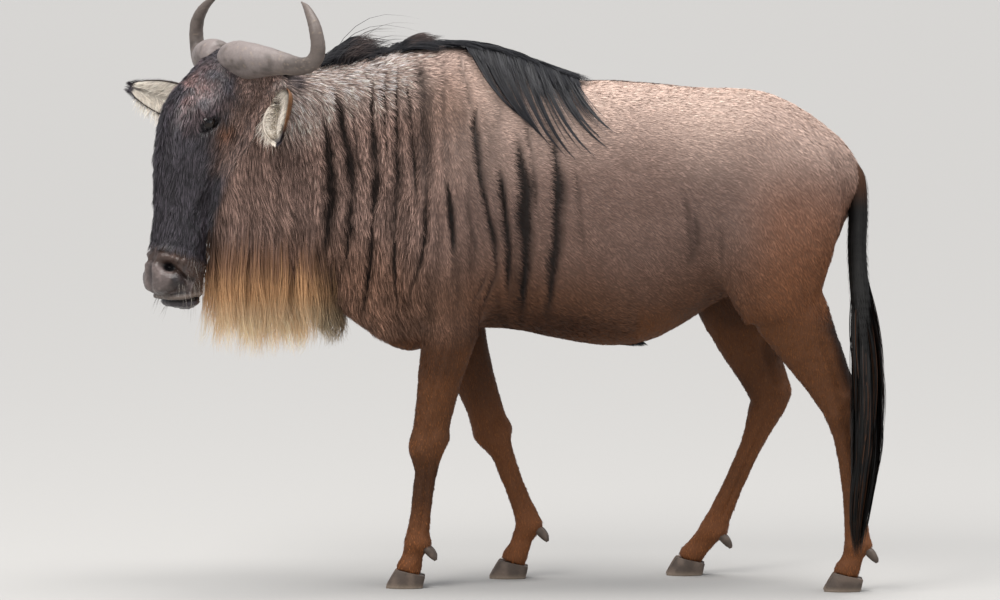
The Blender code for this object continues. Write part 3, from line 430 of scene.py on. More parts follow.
HOOF_COLOUR = srgb(76, 65, 57)
DUST_COLOUR = srgb(150, 134, 116)
IRIS_COLOUR = srgb(26, 17, 13)
EYE_WHITE_COLOUR = srgb(12, 9, 9)
PUPIL_COLOUR = np.array([0.003, 0.003, 0.004])


def smooth_rows(rows, steps):
    """Rows of numbers with steps more rows between each two, along a curve through them all."""
    rows = np.array(rows, float)
    padded = np.vstack([2 * rows[0] - rows[1], rows, 2 * rows[-1] - rows[-2]])
    found = []
    for i in range(1, len(padded) - 2):
        p0, p1, p2, p3 = padded[i - 1 : i + 3]
        for t in np.arange(steps) / steps:
            found.append(
                0.5 * (2 * p1 + (p2 - p0) * t + (2 * p0 - 5 * p1 + 4 * p2 - p3) * t * t
                       + (3 * p1 - p0 - 3 * p2 + p3) * t**3)
            )
    found.append(rows[-1])
    return np.array(found)


def unit(vectors):
    vectors = np.asarray(vectors, float)
    return vectors / np.maximum(np.linalg.norm(vectors, axis=-1, keepdims=True), 1e-9)


def step(values, low, high):
    """0 below low and 1 above high, smooth between, also with low above high."""
    share = np.clip((values - low) / (high - low), 0, 1)
    return share * share * (3 - 2 * share)


def span(values, start, full, fading, end):
    """1 from full to fading, and smoothly down to 0 at start and at end."""
    return step(values, start, full) * step(values, end, fading)


def hump(values, middle, spread):
    """1 at the middle, falling off on both sides by the spread."""
    return np.exp(-(((values - middle) / spread) ** 2))


def mix(first, second, share):
    share = np.asarray(share)[..., None]
    return first * (1 - share) + second * share


def layered(colour, *layers):
    """A colour with others laid over it in turn, each by its own share."""
    for over, share in layers:
        colour = mix(colour, over, share)
    return colour


def power(value, exponent):
    return np.sign(value) * np.abs(value) ** exponent


def around_ring(count):
    return np.linspace(0, 2 * math.pi, count, endpoint=False)


def softened(line, times):
    """A row of points with each but the ends drawn towards its neighbours."""
    for _ in range(times):
        line[1:-1] = (line[:-2] + 2 * line[1:-1] + line[2:]) / 4
    return line


def noise(points, size, seed=0):
    """Smooth noise from -1 to 1 that changes over the given size, at each point."""
    places = points / size + 37.7 * (seed + 1)
    cells = np.floor(places).astype(np.int64)
    share = places - cells
    share = share * share * (3 - 2 * share)
    total = np.zeros(len(points))
    for corner in range(8):
        step_to = np.array([corner >> 2 & 1, corner >> 1 & 1, corner & 1])
        key = ((cells + step_to) * np.array([73856093, 19349663, 83492791])).sum(axis=1)
        key = (key ^ (key >> 13)) * 1274126177 & 0x7FFFFFFF
        value = (key >> 7) % 8191 / 4095 - 1
        total += value * np.prod(np.where(step_to, share, 1 - share), axis=1)
    return total


def linked(name, data):
    made = bpy.data.objects.new(name, data)
    bpy.context.scene.collection.objects.link(made)
    return made


def mesh_object(name, points, faces):
    """A mesh of the given points and faces, its faces turned outwards."""
    mesh = bpy.data.meshes.new(name)
    mesh.from_pydata([tuple(p) for p in np.array(points, float)], [], faces)
    work = bmesh.new()
    work.from_mesh(mesh)
    bmesh.ops.recalc_face_normals(work, faces=work.faces)
    if work.calc_volume(signed=True) < 0:
        bmesh.ops.reverse_faces(work, faces=work.faces)
    work.to_mesh(mesh)
    work.free()
    return linked(name, mesh)


def loft(name, rings):
    """A smooth closed skin over rings of equal point counts, with a flat cap on each end."""
    count = len(rings[0])
    total = count * len(rings)
    faces = []
    for start in range(0, total - count, count):
        for j in range(count):
            k = (j + 1) % count
            faces.append((start + j, start + k, start + count + k, start + count + j))
    faces += [tuple(range(count)), tuple(range(total - count, total))]
    made = mesh_object(name, np.vstack(rings), faces)
    made.data.shade_smooth()
    return made


def shift_to_place(obj):
    move_points(obj.data, points_of(obj.data) + SIDEWAYS)


def points_of(mesh, what="co"):
    """The places of a mesh's points, or with "normal" the directions that they face."""
    found = np.empty(len(mesh.vertices) * 3)
    mesh.vertices.foreach_get(what, found)
    return found.reshape(-1, 3)


def move_points(mesh, points):
    mesh.vertices.foreach_set("co", np.ascontiguousarray(points).reshape(-1))
    mesh.update()


def join(pieces, name):
    """One mesh of all the pieces, which are taken away."""
    points, faces = [], []
    for piece in pieces:
        mesh = piece.data
        start = len(points)
        points += [tuple(v.co) for v in mesh.vertices]
        faces += [tuple(start + i for i in p.vertices) for p in mesh.polygons]
        bpy.data.objects.remove(piece)
        bpy.data.meshes.remove(mesh)
    made = bpy.data.meshes.new(name)
    made.from_pydata(points, [], faces)
    return linked(name, made)


def remesh(obj, size, smoothing):
    """Melt an object's closed parts into one even skin, and smooth it."""
    modifier = obj.modifiers.new("remesh", "REMESH")
    modifier.mode = "VOXEL"
    modifier.voxel_size = size
    modifier.use_smooth_shade = True
    smooth = obj.modifiers.new("smooth", "SMOOTH")
    smooth.factor = 0.5
    smooth.iterations = smoothing
    old = obj.data
    made = bpy.data.meshes.new_from_object(obj.evaluated_get(bpy.context.evaluated_depsgraph_get()))
    obj.modifiers.clear()
    obj.data = made
    bpy.data.meshes.remove(old)


def head_point(down, out, left):
    return POLL + HEAD_DOWN * down + HEAD_OUT * out + HEAD_LEFT * left


def head_places(points):
    """Down the face, out of it, and to its left, for each point."""
    apart = points - POLL
    return np.stack([apart @ HEAD_DOWN, apart @ HEAD_OUT, apart @ HEAD_LEFT], axis=1)


def trunk_at(x):
    """Top, bottom, half width, middle y and widest height of the trunk at x."""
    rows = np.array(TRUNK)[::-1]
    return [np.interp(x, rows[:, 0], rows[:, i]) for i in range(1, 6)]


def trunk_ring(x, top, bottom, half, middle, wide, around):
    """The trunk's outline at x, at the angles around it from its left side over the top."""
    height = bottom + (top - bottom) * wide
    lift = np.where(np.sin(around) > 0, top - height, height - bottom)
    aside = middle + GIRTH * half * power(np.cos(around), 0.92)
    return np.stack([x + 0 * around, aside, height + lift * power(np.sin(around), 0.94)], axis=-1)


def trunk_surface(x, turn):
    """A point of the trunk's side at x, turn degrees round from the top towards one side."""
    return trunk_ring(x, *trunk_at(x), np.radians(90.0 - turn))


def head_rings():
    around = around_ring(36)
    narrowing = 1 - 0.10 * np.clip(np.sin(around), 0, 1) ** 2
    rings = []
    for down, out, depth, half in smooth_rows(HEAD, 3):
        outs = out + depth * power(np.sin(around), 0.90)
        lefts = half * power(np.cos(around), 0.88) * narrowing
        rings.append([head_point(down, o, s) for o, s in zip(outs, lefts)])
    return rings


def path_rings(rows, count):
    """Ellipses square to a path of x, y, z, half depth, half width, the width across the body."""
    rows = np.array(rows)
    around = around_ring(count)
    rings = []
    for row, tangent in zip(rows, unit(np.gradient(rows[:, :3], axis=0))):
        aside = unit(np.array([0, 1, 0]) - tangent * tangent[1])
        fore = np.cross(aside, tangent)
        depth, half = row[3] * np.cos(around), row[4] * np.sin(around)
        rings.append(row[:3] + np.outer(depth, fore) + np.outer(half, aside))
    return rings


def leg_rows(joints, profile):
    """Places and sizes down a leg, with the path rounded at its joints."""
    joints = np.array(joints)
    rows = []
    for place, depth, half in profile:
        first = min(int(place), len(joints) - 2)
        point = joints[first] + (joints[first + 1] - joints[first]) * (place - first)
        rows.append((*point, depth, half))
    rows = smooth_rows(rows, 4)
    softened(rows[:, :3], 3)
    return rows


def leg_line(joints, z):
    """The x and y of a leg's middle at each height."""
    joints = np.array(joints)[::-1]
    return np.interp(z, joints[:, 2], joints[:, 0]), np.interp(z, joints[:, 2], joints[:, 1])


def is_fore(leg):
    return leg.startswith("fore")


def leg_muscle(name):
    """The shoulder or the haunch over one leg's top, leaning with that leg."""
    muscle = np.array(SHOULDER if is_fore(name) else THIGH)
    left_leg = name.split("_")[0] + "_left"
    shift = LEGS[name][0][0] - LEGS[left_leg][0][0]
    muscle[:, 0] += shift * np.linspace(0, 1, len(muscle)) ** 1.5
    muscle[:, 1] *= -1 if name == left_leg else 1
    return loft(name + "_muscle", path_rings(smooth_rows(muscle, 4), 24))


def heel_string(name):
    """The tendon behind a hind leg, down to the point of the hock."""
    top, hock, fetlock = (np.array(joint) for joint in LEGS[name][:3])
    back = np.array([0.040, 0, 0])
    rows = (
        (*(top + (hock - top) * 0.30 + back), 0.040, 0.032),
        (*(top + (hock - top) * 0.62 + back), 0.024, 0.022),
        (*(hock + np.array([0.026, 0, 0.016])), 0.018, 0.020),
        (*(hock + (fetlock - hock) * 0.14 + np.array([0.012, 0, 0])), 0.018, 0.018),
    )
    return loft(name + "_heel", path_rings(smooth_rows(rows, 5), 14))


def make_flesh():
    """The animal's whole body as one closed mesh, before its fine relief."""
    around = around_ring(40)
    rings = [trunk_ring(*row, around) for row in smooth_rows(TRUNK, 3)]
    trunk = join([loft("trunk", rings)] + [leg_muscle(name) for name in LEGS], "trunk")
    remesh(trunk, TRUNK_VOXEL, TRUNK_SMOOTHING)
    pieces = [trunk, loft("skull", head_rings())]
    for name, joints in LEGS.items():
        rows = leg_rows(joints, FORE_PROFILE if is_fore(name) else HIND_PROFILE)
        pieces.append(loft(name, path_rings(rows, 20)))
        if not is_fore(name):
            pieces.append(heel_string(name))
    flesh = join(pieces, "skin")
    remesh(flesh, SKIN_VOXEL, SKIN_SMOOTHING)
    return flesh


def refine(obj, chosen):
    """Split every face whose middle the chosen function picks into four."""
    work = bmesh.new()
    work.from_mesh(obj.data)
    picked = chosen(np.array([face.calc_center_median() for face in work.faces]))
    edges = {edge for face, yes in zip(work.faces, picked) if yes for edge in face.edges}
    bmesh.ops.subdivide_edges(work, edges=list(edges), cuts=1, use_grid_fill=True)
    inner = [v for v in work.verts if any(e in edges for e in v.link_edges)]
    axes = dict.fromkeys(("use_axis_x", "use_axis_y", "use_axis_z"), True)
    bmesh.ops.smooth_vert(work, verts=inner, factor=0.4, **axes)
    work.to_mesh(obj.data)
    work.free()


def on_head(points):
    """1 where a point lies on the skull's own surface, 0 on the neck or beyond."""
    down, out, left = head_places(points).T
    rows = smooth_rows(HEAD, 3)
    middle, depth, half = (np.interp(down, rows[:, 0], rows[:, i]) for i in (1, 2, 3))
    ring = np.sqrt(((out - middle) / depth) ** 2 + (left / half) ** 2)
    ring = ring * (1 - 0.38 * step(down, 0.470, 0.495))
    ring = np.where((down < -0.05) | (down > 0.65), 9.0, ring)
    return step(ring, 1.32, 1.12)


def mirrored(places):
    """Places on the head with the right half laid over the left one."""
    return places * [1, 1, 0] + np.abs(places) * [0, 0, 1]


def bump(places, middle, spread):
    """One at the middle, falling off by the spread along each of the head's directions."""
    apart = (places - np.array(middle)) / np.array(spread)
    return np.exp(-0.5 * (apart**2).sum(axis=1))


def forms(places, rows):
    """The height that a table of forms gives to each place on the head."""
    return sum(height * bump(places, middle, spread) for height, middle, spread in rows)


def eye_rings(places):
    """How far round the eye's almond each point lies, below 1 in the opening, and the way across."""
    down, out, left = places.T
    down, out = down - EYE_PLACE[0], out - EYE_PLACE[1]
    along, across = down * 0.80 + out * 0.60, out * 0.80 - down * 0.60
    almond = np.hypot(along / EYE_ALMOND[0], across / EYE_ALMOND[1])
    return np.where(left > 0.03, almond, 99.0), across


def head_relief(points):
    """How far each point of the head moves out along its normal."""
    places = mirrored(head_places(points))
    down = places[:, 0]
    almond, across = eye_rings(places)
    height = -0.0105 * np.exp(-((almond / 0.98) ** 4))
    height += 0.0064 * hump(almond, 1.30, 0.26) * (0.75 + 0.55 * step(across, 0, 0.010))
    height -= 0.0022 * hump(almond, 1.85, 0.18)
    height += 0.0018 * hump(almond, 2.30, 0.22) * step(across, 0.004, -0.010)
    height += forms(places, FACE_FORMS) + muzzle_relief(points, places)
    return height + step(down, 0.482, 0.468) * noise(points, 0.02, 6) * 0.0014


def pad_ring(places):
    """How far round the bare nose pad each point lies: 1 is its edge."""
    down, out, aside = places.T
    ring = np.sqrt(((down - 0.546) / 0.036) ** 2 + (aside / 0.060) ** 2)
    return np.where(out > -0.012, ring, 9.0)


def mouth_line(places):
    """How far below the mouth's line each point lies, on its upright."""
    return places[:, 0] - (0.588 + 0.448 * (places[:, 1] - 0.005))


def muzzle_relief(points, places):
    """Nostrils and their folds, the nose pad, the lips and the wrinkles of the bare muzzle."""
    down, out, aside = places.T
    ring = pad_ring(places)
    height = 0.0055 * step(ring, 1.02, 0.72) + forms(places, MUZZLE_FORMS)
    height -= 0.0058 * hump(ring, 1.10, 0.09) * step(down, 0.520, 0.535)
    slit = (down - 0.515) + 0.55 * (out - 0.045)
    tail_end = span(out, 0.002, 0.016, 0.036, 0.048) * step(aside, 0.030, 0.040)
    height -= 0.0100 * hump(slit, 0, 0.0042) * tail_end
    line = mouth_line(places)
    lips = 0.0042 * hump(line, -0.0115, 0.0065) + 0.0034 * hump(line, 0.0105, 0.0060)
    lips -= 0.0100 * hump(line, 0, 0.0034)
    height += lips * step(out, -0.060, -0.050) * (down > 0.5)
    creases = np.sin(2 * math.pi * (out + 0.25 * aside) / 0.0105 + 2.5 * noise(points, 0.02, 15))
    height += 0.0011 * creases * span(down, 0.476, 0.484, 0.498, 0.512)
    folds = np.sin(2 * math.pi * (down + 0.3 * out) / 0.0085 + 2.0 * noise(points, 0.015, 16))
    height += 0.0004 * folds * step(out, 0.020, 0.000) * step(ring, 1.05, 1.25)
    height += noise(points, 0.0065, 3) * 0.0008 + noise(points, 0.0032, 4) * 0.0005
    return 1.25 * step(down, 0.468, 0.482) * height


def fold_shares(points):
    """How deep in a dark fold, and how high on the ridges beside it, each point lies, 0 to 1."""
    x, y, z = points.T
    deep, raised = np.zeros((2, len(points)))
    wave = 0.004 * noise(points * [0.4, 0.4, 1.0], 0.07, 11)
    ragged = 1 + 0.45 * noise(points * [1.0, 0.5, 0.35], 0.022, 13)
    uneven = np.clip(0.82 + 0.35 * noise(points * [1.0, 0.6, 0.5], 0.035, 14), 0, 1)
    for index, (x_top, x_middle, x_foot, z_top, z_foot, half, dark) in enumerate(FOLDS):
        shift = 0.006 * math.sin(index * 2.3) * (y > 0)
        share = np.clip((z_top - z) / (z_top - z_foot), -0.2, 1.2)
        bow = 4 * share * (1 - share) * (x_middle - 0.5 * (x_top + x_foot))
        place = x_top + (x_foot - x_top) * share + bow
        wide = 1.20 * half * (0.55 + 0.45 * np.sin(np.pi * np.clip(share, 0, 1))) * ragged
        line = np.abs(x + wave + shift - place) / wide
        inside = dark * span(share, -0.16, 0.14, 0.84, 1.20) * uneven
        # The wide faint halo round each fold's core is painted shade.
        core = np.maximum(np.exp(-(line**1.7)), 0.26 * hump(line, 0, 2.3))
        deep = np.maximum(deep, core * inside)
        raised = np.maximum(raised, hump(line, 1.9, 0.7) * inside)
    side = step(np.abs(y + 0.08 * step(x, -0.35, -0.62)), 0.045, 0.075)
    return deep * side, raised * (1 - deep) * side


def trunk_relief(points):
    """Folds down the neck and side, and the hollows of flank, haunch and shoulder."""
    x, y, z = points.T
    deep, raised = fold_shares(points)
    height = (0.0100 - 0.0065 * step(x, 0.00, 0.12)) * (0.35 * raised - deep)
    neck = step(x, 0.14, 0.02) * span(z, 0.66, 0.80, 1.12, 1.22) * (np.abs(y) > 0.04)
    height += neck * 0.0032 * noise(points * [1.0, 0.35, 0.16], 0.017, 21)
    for rise, x_middle, x_spread, z_middle, z_spread, least in TRUNK_FORMS:
        form = hump(x, x_middle, x_spread) * hump(z, z_middle, z_spread)
        height += rise * form * (np.abs(y) > least)
    groin = hump(x - 0.35 * (0.72 - z), 0.545, 0.022) * span(z, 0.60, 0.64, 0.72, 0.78)
    height -= 0.007 * groin * (np.abs(y) > 0.06)
    blade = hump(x - 0.30 * (z - 0.9), -0.145, 0.016)
    height += 0.003 * blade * span(z, 0.70, 0.78, 1.02, 1.14)
    ribs = np.sin((x + 0.35 * (z - 0.9)) * 2 * math.pi / 0.052)
    height += 0.0012 * ribs * span(x, 0.16, 0.22, 0.34, 0.42) * span(z, 0.66, 0.74, 0.98, 1.06)
    return height + 0.0018 * noise(points, 0.055, 9) + 0.0010 * noise(points, 0.022, 10)


def leg_relief(points):
    """Tendons, muscles and the bones of knee, hock and fetlock."""
    x, y, z = points.T
    height = np.zeros(len(points))
    for name, joints in LEGS.items():
        middle_x, middle_y = leg_line(joints, z)
        apart_x, apart_y = x - middle_x, np.abs(y - middle_y)
        near = (np.abs(apart_x) < 0.10) & (apart_y < 0.08) & (z < 0.60)
        knee, fetlock = joints[1][2], joints[2][2]
        above = z - knee
        face = {
            "ahead": step(apart_x, 0.006, -0.018),
            "behind": step(apart_x, -0.002, 0.018),
            "aside": step(apart_y, 0.008, 0.020),
        }
        cannon = span(z, fetlock + 0.015, fetlock + 0.055, knee - 0.075, knee - 0.02)
        groove = hump(apart_x, 0.007, 0.0050) * face["aside"]
        change = (0.0018 * face["behind"] - 0.0050 * groove) * cannon
        for rise, where, place, spread in FORE_FORMS if is_fore(name) else HIND_FORMS:
            change += rise * face[where] * hump(above, place, spread)
        if is_fore(name):
            hollow = 0.0035 * step(above, 0.05, 0.10)
            line = hump(apart_x - 0.10 * (above - 0.15), -0.012, 0.006)
        else:
            hollow = 0.0085 * span(above, 0.010, 0.045, 0.11, 0.17)
            line = hump(apart_x - 0.16 * above, 0.012, 0.011)
        change -= hollow * line * face["aside"]
        change += 0.0045 * face["behind"] * hump(z, fetlock - 0.004, 0.015)
        change += 0.0030 * face["aside"] * hump(z, fetlock, 0.018)
        change -= 0.0028 * hump(z, 0.5 * (fetlock + 0.05), 0.014)
        cleft = hump(y, middle_y, 0.0045) * step(z, fetlock - 0.02, fetlock - 0.045)
        change -= 0.0040 * cleft * (face["ahead"] + face["behind"])
        height += np.where(near, change + 0.0008 * noise(points, 0.014, 31), 0)
    return height


def coat_depth(points, head):
    """How far the skin lies inside the solids, so that the coat ends at their surface."""
    x, _, z = points.T
    depth = 0.0045 + 0.0035 * step(x, -0.05, -0.30)
    depth = depth * step(z, 0.50, 0.62) + 0.0022 * step(z, 0.62, 0.50)
    bare = step(head_places(points)[:, 0], 0.455, 0.480)
    return depth * (1 - head) + head * 0.0030 * (1 - bare)


def make_skin():
    """The flesh with finer faces on the head, its relief, and room for the coat over it."""
    skin = make_flesh()

    def face_detail(middles):
        places = mirrored(head_places(middles))
        return (on_head(middles) > 0.5) & ((eye_rings(places)[0] < 2.7) | (places[:, 0] > 0.475))

    refine(skin, lambda middles: on_head(middles) > 0.35)
    refine(skin, face_detail)
    points = points_of(skin.data)
    head = on_head(points)
    trunk = (1 - head) * step(points[:, 2], 0.48, 0.58)
    height = head_relief(points) * head + trunk_relief(points) * trunk
    height += leg_relief(points) - coat_depth(points, head)
    move_points(skin.data, points + points_of(skin.data, "normal") * height[:, None])
    return skin


def leg_of(points):
    """Which leg each point belongs to, 0 to 3, by the leg's line at its height."""
    lines = [leg_line(joints, points[:, 2]) for joints in LEGS.values()]
    apart = [np.hypot(points[:, 0] - x, points[:, 1] - y) for x, y in lines]
    return np.argmin(apart, axis=0)


def leg_share(points):
    """1 on the legs and 0 on the trunk."""
    x, _, z = points.T
    top = np.where(x < 0.3, 0.600, 0.66)
    return step(z, top + 0.03, top - 0.05)


def marking(points):
    """The coat's colour at each point, for the skin and the hair alike."""
    x, y, z = points.T
    lift = z + 0.06 * noise(points, 0.16, 2)
    # Darker at the throat and paler at the top of the neck: partly the neck's own tone, partly painted
    # light from above.
    neck = layered(
        THROAT_COLOUR,
        (NECK_COLOUR, step(lift, 0.72, 0.90)),
        (NECK_TIP_COLOUR, 0.80 * step(lift, 1.06, 1.20)),
    )
    deep, raised = fold_shares(points)
    slate = hump(x, -0.512, 0.026) * hump(z, 1.185, 0.055) * (0.7 + 0.5 * noise(points, 0.012, 25))
    # Pale back down to dark belly by height: partly the coat's own tone, partly painted light from
    # above and painted shade under the body.
    colour = layered(
        BELLY_COLOUR,
        (LOW_COLOUR, step(lift, 0.56, 0.72)),
        (SIDE_COLOUR, step(lift, 0.68, 0.94)),
        (BACK_COLOUR, step(lift, 0.92, 1.18)),
        (neck, step(x, -0.02, -0.25)),
        (THROAT_COLOUR, 0.62 * hump(x, -0.145, 0.085) * hump(z, 1.16, 0.095)),
        (FACE_COLOUR, np.clip(1.2 * slate, 0, 0.9)),
        (PASTERN_COLOUR, 0.45 * step(x, 0.50, 0.66) * step(z, 1.05, 0.85)),
        (FOLD_COLOUR, 0.7 * step(x, -0.17, -0.26) * step(z, 0.66, 0.58) * step(z, 0.62, 0.56)),
        # Near-black in the folds: the coat's dark stripes, deepened by painted shade.
        (FOLD_COLOUR, np.clip(1.7 * deep, 0, 0.97)),
    )
    # Dark streaks over neck and shoulder: partly the coat's own streaky tone, partly painted shade of
    # fine wrinkles.
    streak = np.clip(noise(points * [1.0, 0.3, 0.14], 0.012, 23), 0, 1)
    broad = noise(points * [1.0, 0.3, 0.10], 0.019, 24)
    front = step(x, 0.14, -0.02) * step(z, 1.24, 1.14)
    # Ridges beside the folds are painted lighter, as a painted highlight.
    colour = colour * ((1 + 0.42 * raised) * (1 - front * (0.34 * streak + 0.36 * broad)))[:, None]
    spine = step(np.abs(y), 0.022, 0.008) * span(x, 0.05, 0.14, 0.30, 0.55)
    withers = step(np.abs(y), 0.075, 0.045) * span(x, -0.13, -0.09, 0.13, 0.20)
    black = 0.85 * np.maximum(spine, withers) * step(z, 1.06, 1.12)
    return layered(
        colour,
        (MANE_COLOUR, black),
        (leg_marking(points), leg_share(points)),
        (face_marking(points), on_head(points)),
    )


def leg_marking(points):
    """The colour of the legs at each point."""
    x, _, z = points.T
    limb = leg_of(points)
    pastern = 0.75 * step(z, 0.24, 0.08) * (0.75 + 0.25 * noise(points, 0.03, 8))
    knee = 0.30 * hump(z, 0.33, 0.045) * (limb < 2) * step(noise(points, 0.03, 12), 0, 0.7)
    back = step(x - np.interp(z, (0.44, 0.69), (0.79, 0.72)), -0.01, 0.03)
    return layered(
        LEG_COLOUR,
        (LEG_DARK_COLOUR, 0.6 * step(noise(points, 0.10, 7), -0.2, 0.6)),
        (PASTERN_COLOUR, pastern),
        (PASTERN_COLOUR, 0.35 * (limb % 2) * step(z, 0.5, 0.3)),
        (PASTERN_COLOUR, knee),
        (MANE_COLOUR, 0.8 * back * span(z, 0.40, 0.52, 0.66, 0.74) * (limb == 2)),
    )


def face_marking(points):
    """The colour of the head at each point."""
    places = mirrored(head_places(points))
    down, out, aside = places.T
    patch = noise(points, 0.030, 17)
    brow = bump(places, (0.105, 0.115, 0.030), (0.050, 0.040, 0.030)) * step(patch, -0.5, 0.4)
    crown = step(down, 0.10, 0.03) * step(aside, 0.035, 0.060) * step(patch, -0.4, 0.5)
    cheek = step(out + 0.012 * patch, 0.050, 0.010) * step(down, 0.29, 0.22)
    behind = bump(places, (0.160, 0.030, 0.08), (0.045, 0.026, 0.06)) * step(patch, -0.8, 0.3)
    rust = bump(places, (0.178, 0.028, 0.08), (0.014, 0.016, 0.05))
    face = layered(
        FACE_COLOUR,
        (FOREHEAD_COLOUR, 0.85 * brow),
        (EYE_PATCH_COLOUR, 0.5 * crown),
        (NECK_COLOUR, 0.80 * cheek),
        (EYE_PATCH_COLOUR, 0.85 * np.clip(1.3 * behind, 0, 1)),
        (PASTERN_COLOUR * 0.6, 0.45 * rust),
        # Near-black round the eye: painted shade in the eye's hollow.
        (FACE_COLOUR * 0.25, step(eye_rings(places)[0], 2.8, 1.5)),
    )
    line, ring = mouth_line(places), pad_ring(places)
    pad = mix(NOSE_COLOUR * 0.8, NOSE_COLOUR * 1.35, step(noise(points, 0.009, 19), -0.3, 0.9))
    # rim marks the groove round the nose pad and the groove below it, laid near-black below as painted
    # shade.
    rim = hump(ring, 1.10, 0.10) * step(down, 0.520, 0.535)
    rim = np.maximum(rim, bump(places, (0.540, 0.065, 0.000), (0.022, 0.025, 0.005)))
    lip = hump(line, -0.012, 0.007) * step(down, 0.53, 0.55) * step(ring, 0.95, 1.10)
    nostril = bump(places, (0.518, 0.050, 0.036), (0.010, 0.014, 0.014))
    muzzle = layered(
        MUZZLE_COLOUR,
        (MUZZLE_COLOUR * 0.6, step(noise(points, 0.010, 18), -0.2, 0.8)),
        (EYE_PATCH_COLOUR, 0.6 * bump(places, (0.497, 0.046, 0.042), (0.008, 0.02, 0.02))),
        (pad, step(ring, 1.06, 0.92) * step(down, 0.512, 0.524)),
        # Painted shade in the grooves round the nose pad.
        (FACE_COLOUR * 0.4, 0.75 * rim),
        (LIP_COLOUR, 0.85 * lip),
        # Near-black along the mouth's line: painted shade in its crease.
        (FACE_COLOUR * 0.25, hump(line, 0, 0.0045) * (down > 0.5)),
        (FACE_COLOUR, 0.8 * step(line, 0.002, 0.007)),
        # Near-black nostril: painted shade in the nostril's hollow.
        (FACE_COLOUR * 0.12, step(nostril, 0.35, 0.75)),
    )
    return mix(face, muzzle, step(down, 0.462, 0.476))


def fur_lie(points, normals):
    """The direction that the hair points in at each place, along the skin."""
    x, _, z = points.T
    head, level = on_head(points), 0 * x
    body = unit(np.stack([level + 0.92, level, -0.25 - 0.5 * step(z, 1.1, 0.8)], axis=1))
    back, fall = 0.18 + 0.9 * step(z, 1.08, 1.22), -0.98 + 0.75 * step(z, 1.10, 1.24)
    neck = np.stack([back, level, fall], axis=1)
    down, _, left = head_places(points).T
    fan = 0.45 * np.clip(left / 0.08, -1, 1) * span(down, 0.02, 0.20, 0.30, 0.50)
    lie = layered(
        body,
        (np.array([1.0, 0, 0]), step(z, 0.70, 0.60) * step(x, -0.15, 0.0)),
        (np.array([0.45, 0, -0.9]), 0.8 * step(x, 0.48, 0.66)),
        (neck, step(x, 0.00, -0.20)),
        (np.array([0.05, 0, -1.0]), leg_share(points)),
        (HEAD_DOWN + fan[:, None] * HEAD_LEFT, head),
    )
    swirl = 0.16 + 0.14 * step(x, 0.1, -0.2) + 0.10 * head
    wave = np.stack([noise(points, 0.035, seed) for seed in (41, 42, 43)], axis=1)
    fine = np.stack([noise(points, 0.010, seed) for seed in (44, 45, 46)], axis=1)
    lie = lie + swirl[:, None] * (wave + 0.7 * fine)
    return unit(lie - normals * (lie * normals).sum(axis=1, keepdims=True))


def coat_sizes(points):
    """The length, width and lift of the hair at each place."""
    x, _, z = points.T
    neck = step(x, -0.10, -0.30)
    places = mirrored(head_places(points))
    face = 0.013 + 0.013 * step(places[:, 0], 0.05, 0.20)
    face = face * (0.45 + 0.55 * step(eye_rings(places)[0], 1.3, 2.4))
    long_part = 0.010 * step(x, -0.40, -0.52) + 0.009 * neck * step(z, 0.98, 0.80)
    sizes = np.stack([
        0.014 + 0.010 * neck + long_part,
        0.0016 - 0.0001 * neck,
        0.16 + 0.14 * neck + 0.12 * neck * step(z, 1.12, 1.22),
    ], axis=1)
    on_face = np.stack([face, 0 * x + 0.0013, 0 * x + 0.20], axis=1)
    sizes = mix(sizes, np.array([0.0095, 0.0013, 0.14]), leg_share(points))
    return mix(sizes, on_face, on_head(points)).T


def coat_zone(points):
    """The coat piece that each point belongs to, as its place in COAT_TUFTS."""
    x, y = points[:, 0], points[:, 1]
    right = y > trunk_at(x)[3]
    zone = np.where(x < -0.235, 1 + right, np.where(x < 0.06, 3, np.where(x < 0.42, 4, 5)))
    zone = np.where(leg_share(points) > 0.5, LEG_ZONE, zone)
    return np.where(on_head(points) > 0.5, HEAD_ZONE, zone)


def turn_share(aside, ahead):
    return np.arctan2(aside, ahead) / (2 * math.pi)


def unwrap(points, zone):
    """Each point's place from 0 to 1 on its zone's own unrolled surface."""
    x, y, z = points.T
    top, bottom, _, middle, _ = trunk_at(x)
    around, along = turn_share(y - middle, z - (top + bottom) / 2) % 1.0, x
    if zone == HEAD_ZONE:
        along, out, left = head_places(points).T
        around = (turn_share(left, out - 0.01) + 0.5) % 1.0
    if zone == LEG_ZONE:
        limb, along = leg_of(points), z
        lines = np.array([leg_line(joints, z) for joints in LEGS.values()])
        middle_x, middle_y = lines[limb, :, np.arange(len(limb))].T
        around = (turn_share(y - middle_y, x - middle_x) + 0.5) % 1.0
        around = (limb + 0.02 + 0.96 * around) / len(LEGS)
    along = (along - along.min()) / max(np.ptp(along), 1e-6)
    return np.stack([around, along], axis=1) * (1 - 3 * PATCH) + PATCH


def paint(obj, colours):
    attribute = obj.data.color_attributes.new("tint", "FLOAT_COLOR", "POINT")
    rgba = np.concatenate([colours, np.ones((len(colours), 1))], axis=1)
    attribute.data.foreach_set("color", rgba.reshape(-1))


def finish(obj, look, slot_name):
    """Give a piece its material, and tell the frame how it rides."""
    obj.data.materials.append(look)
    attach(obj, "root")


def dress(obj, colours, look, slot_name, *nodes):
    """Colour and place a piece that stands for the given nodes of the solids."""
    paint(obj, colours)
    shift_to_place(obj)
    finish(obj, look, slot_name)
    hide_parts(*nodes)


def doubled(rows):
    """Each row but the last twice, for a strip's two edges, and the last once, for its tip."""
    return np.concatenate([np.repeat(rows[:, :-1], 2, axis=1), rows[:, -1:]], axis=1)


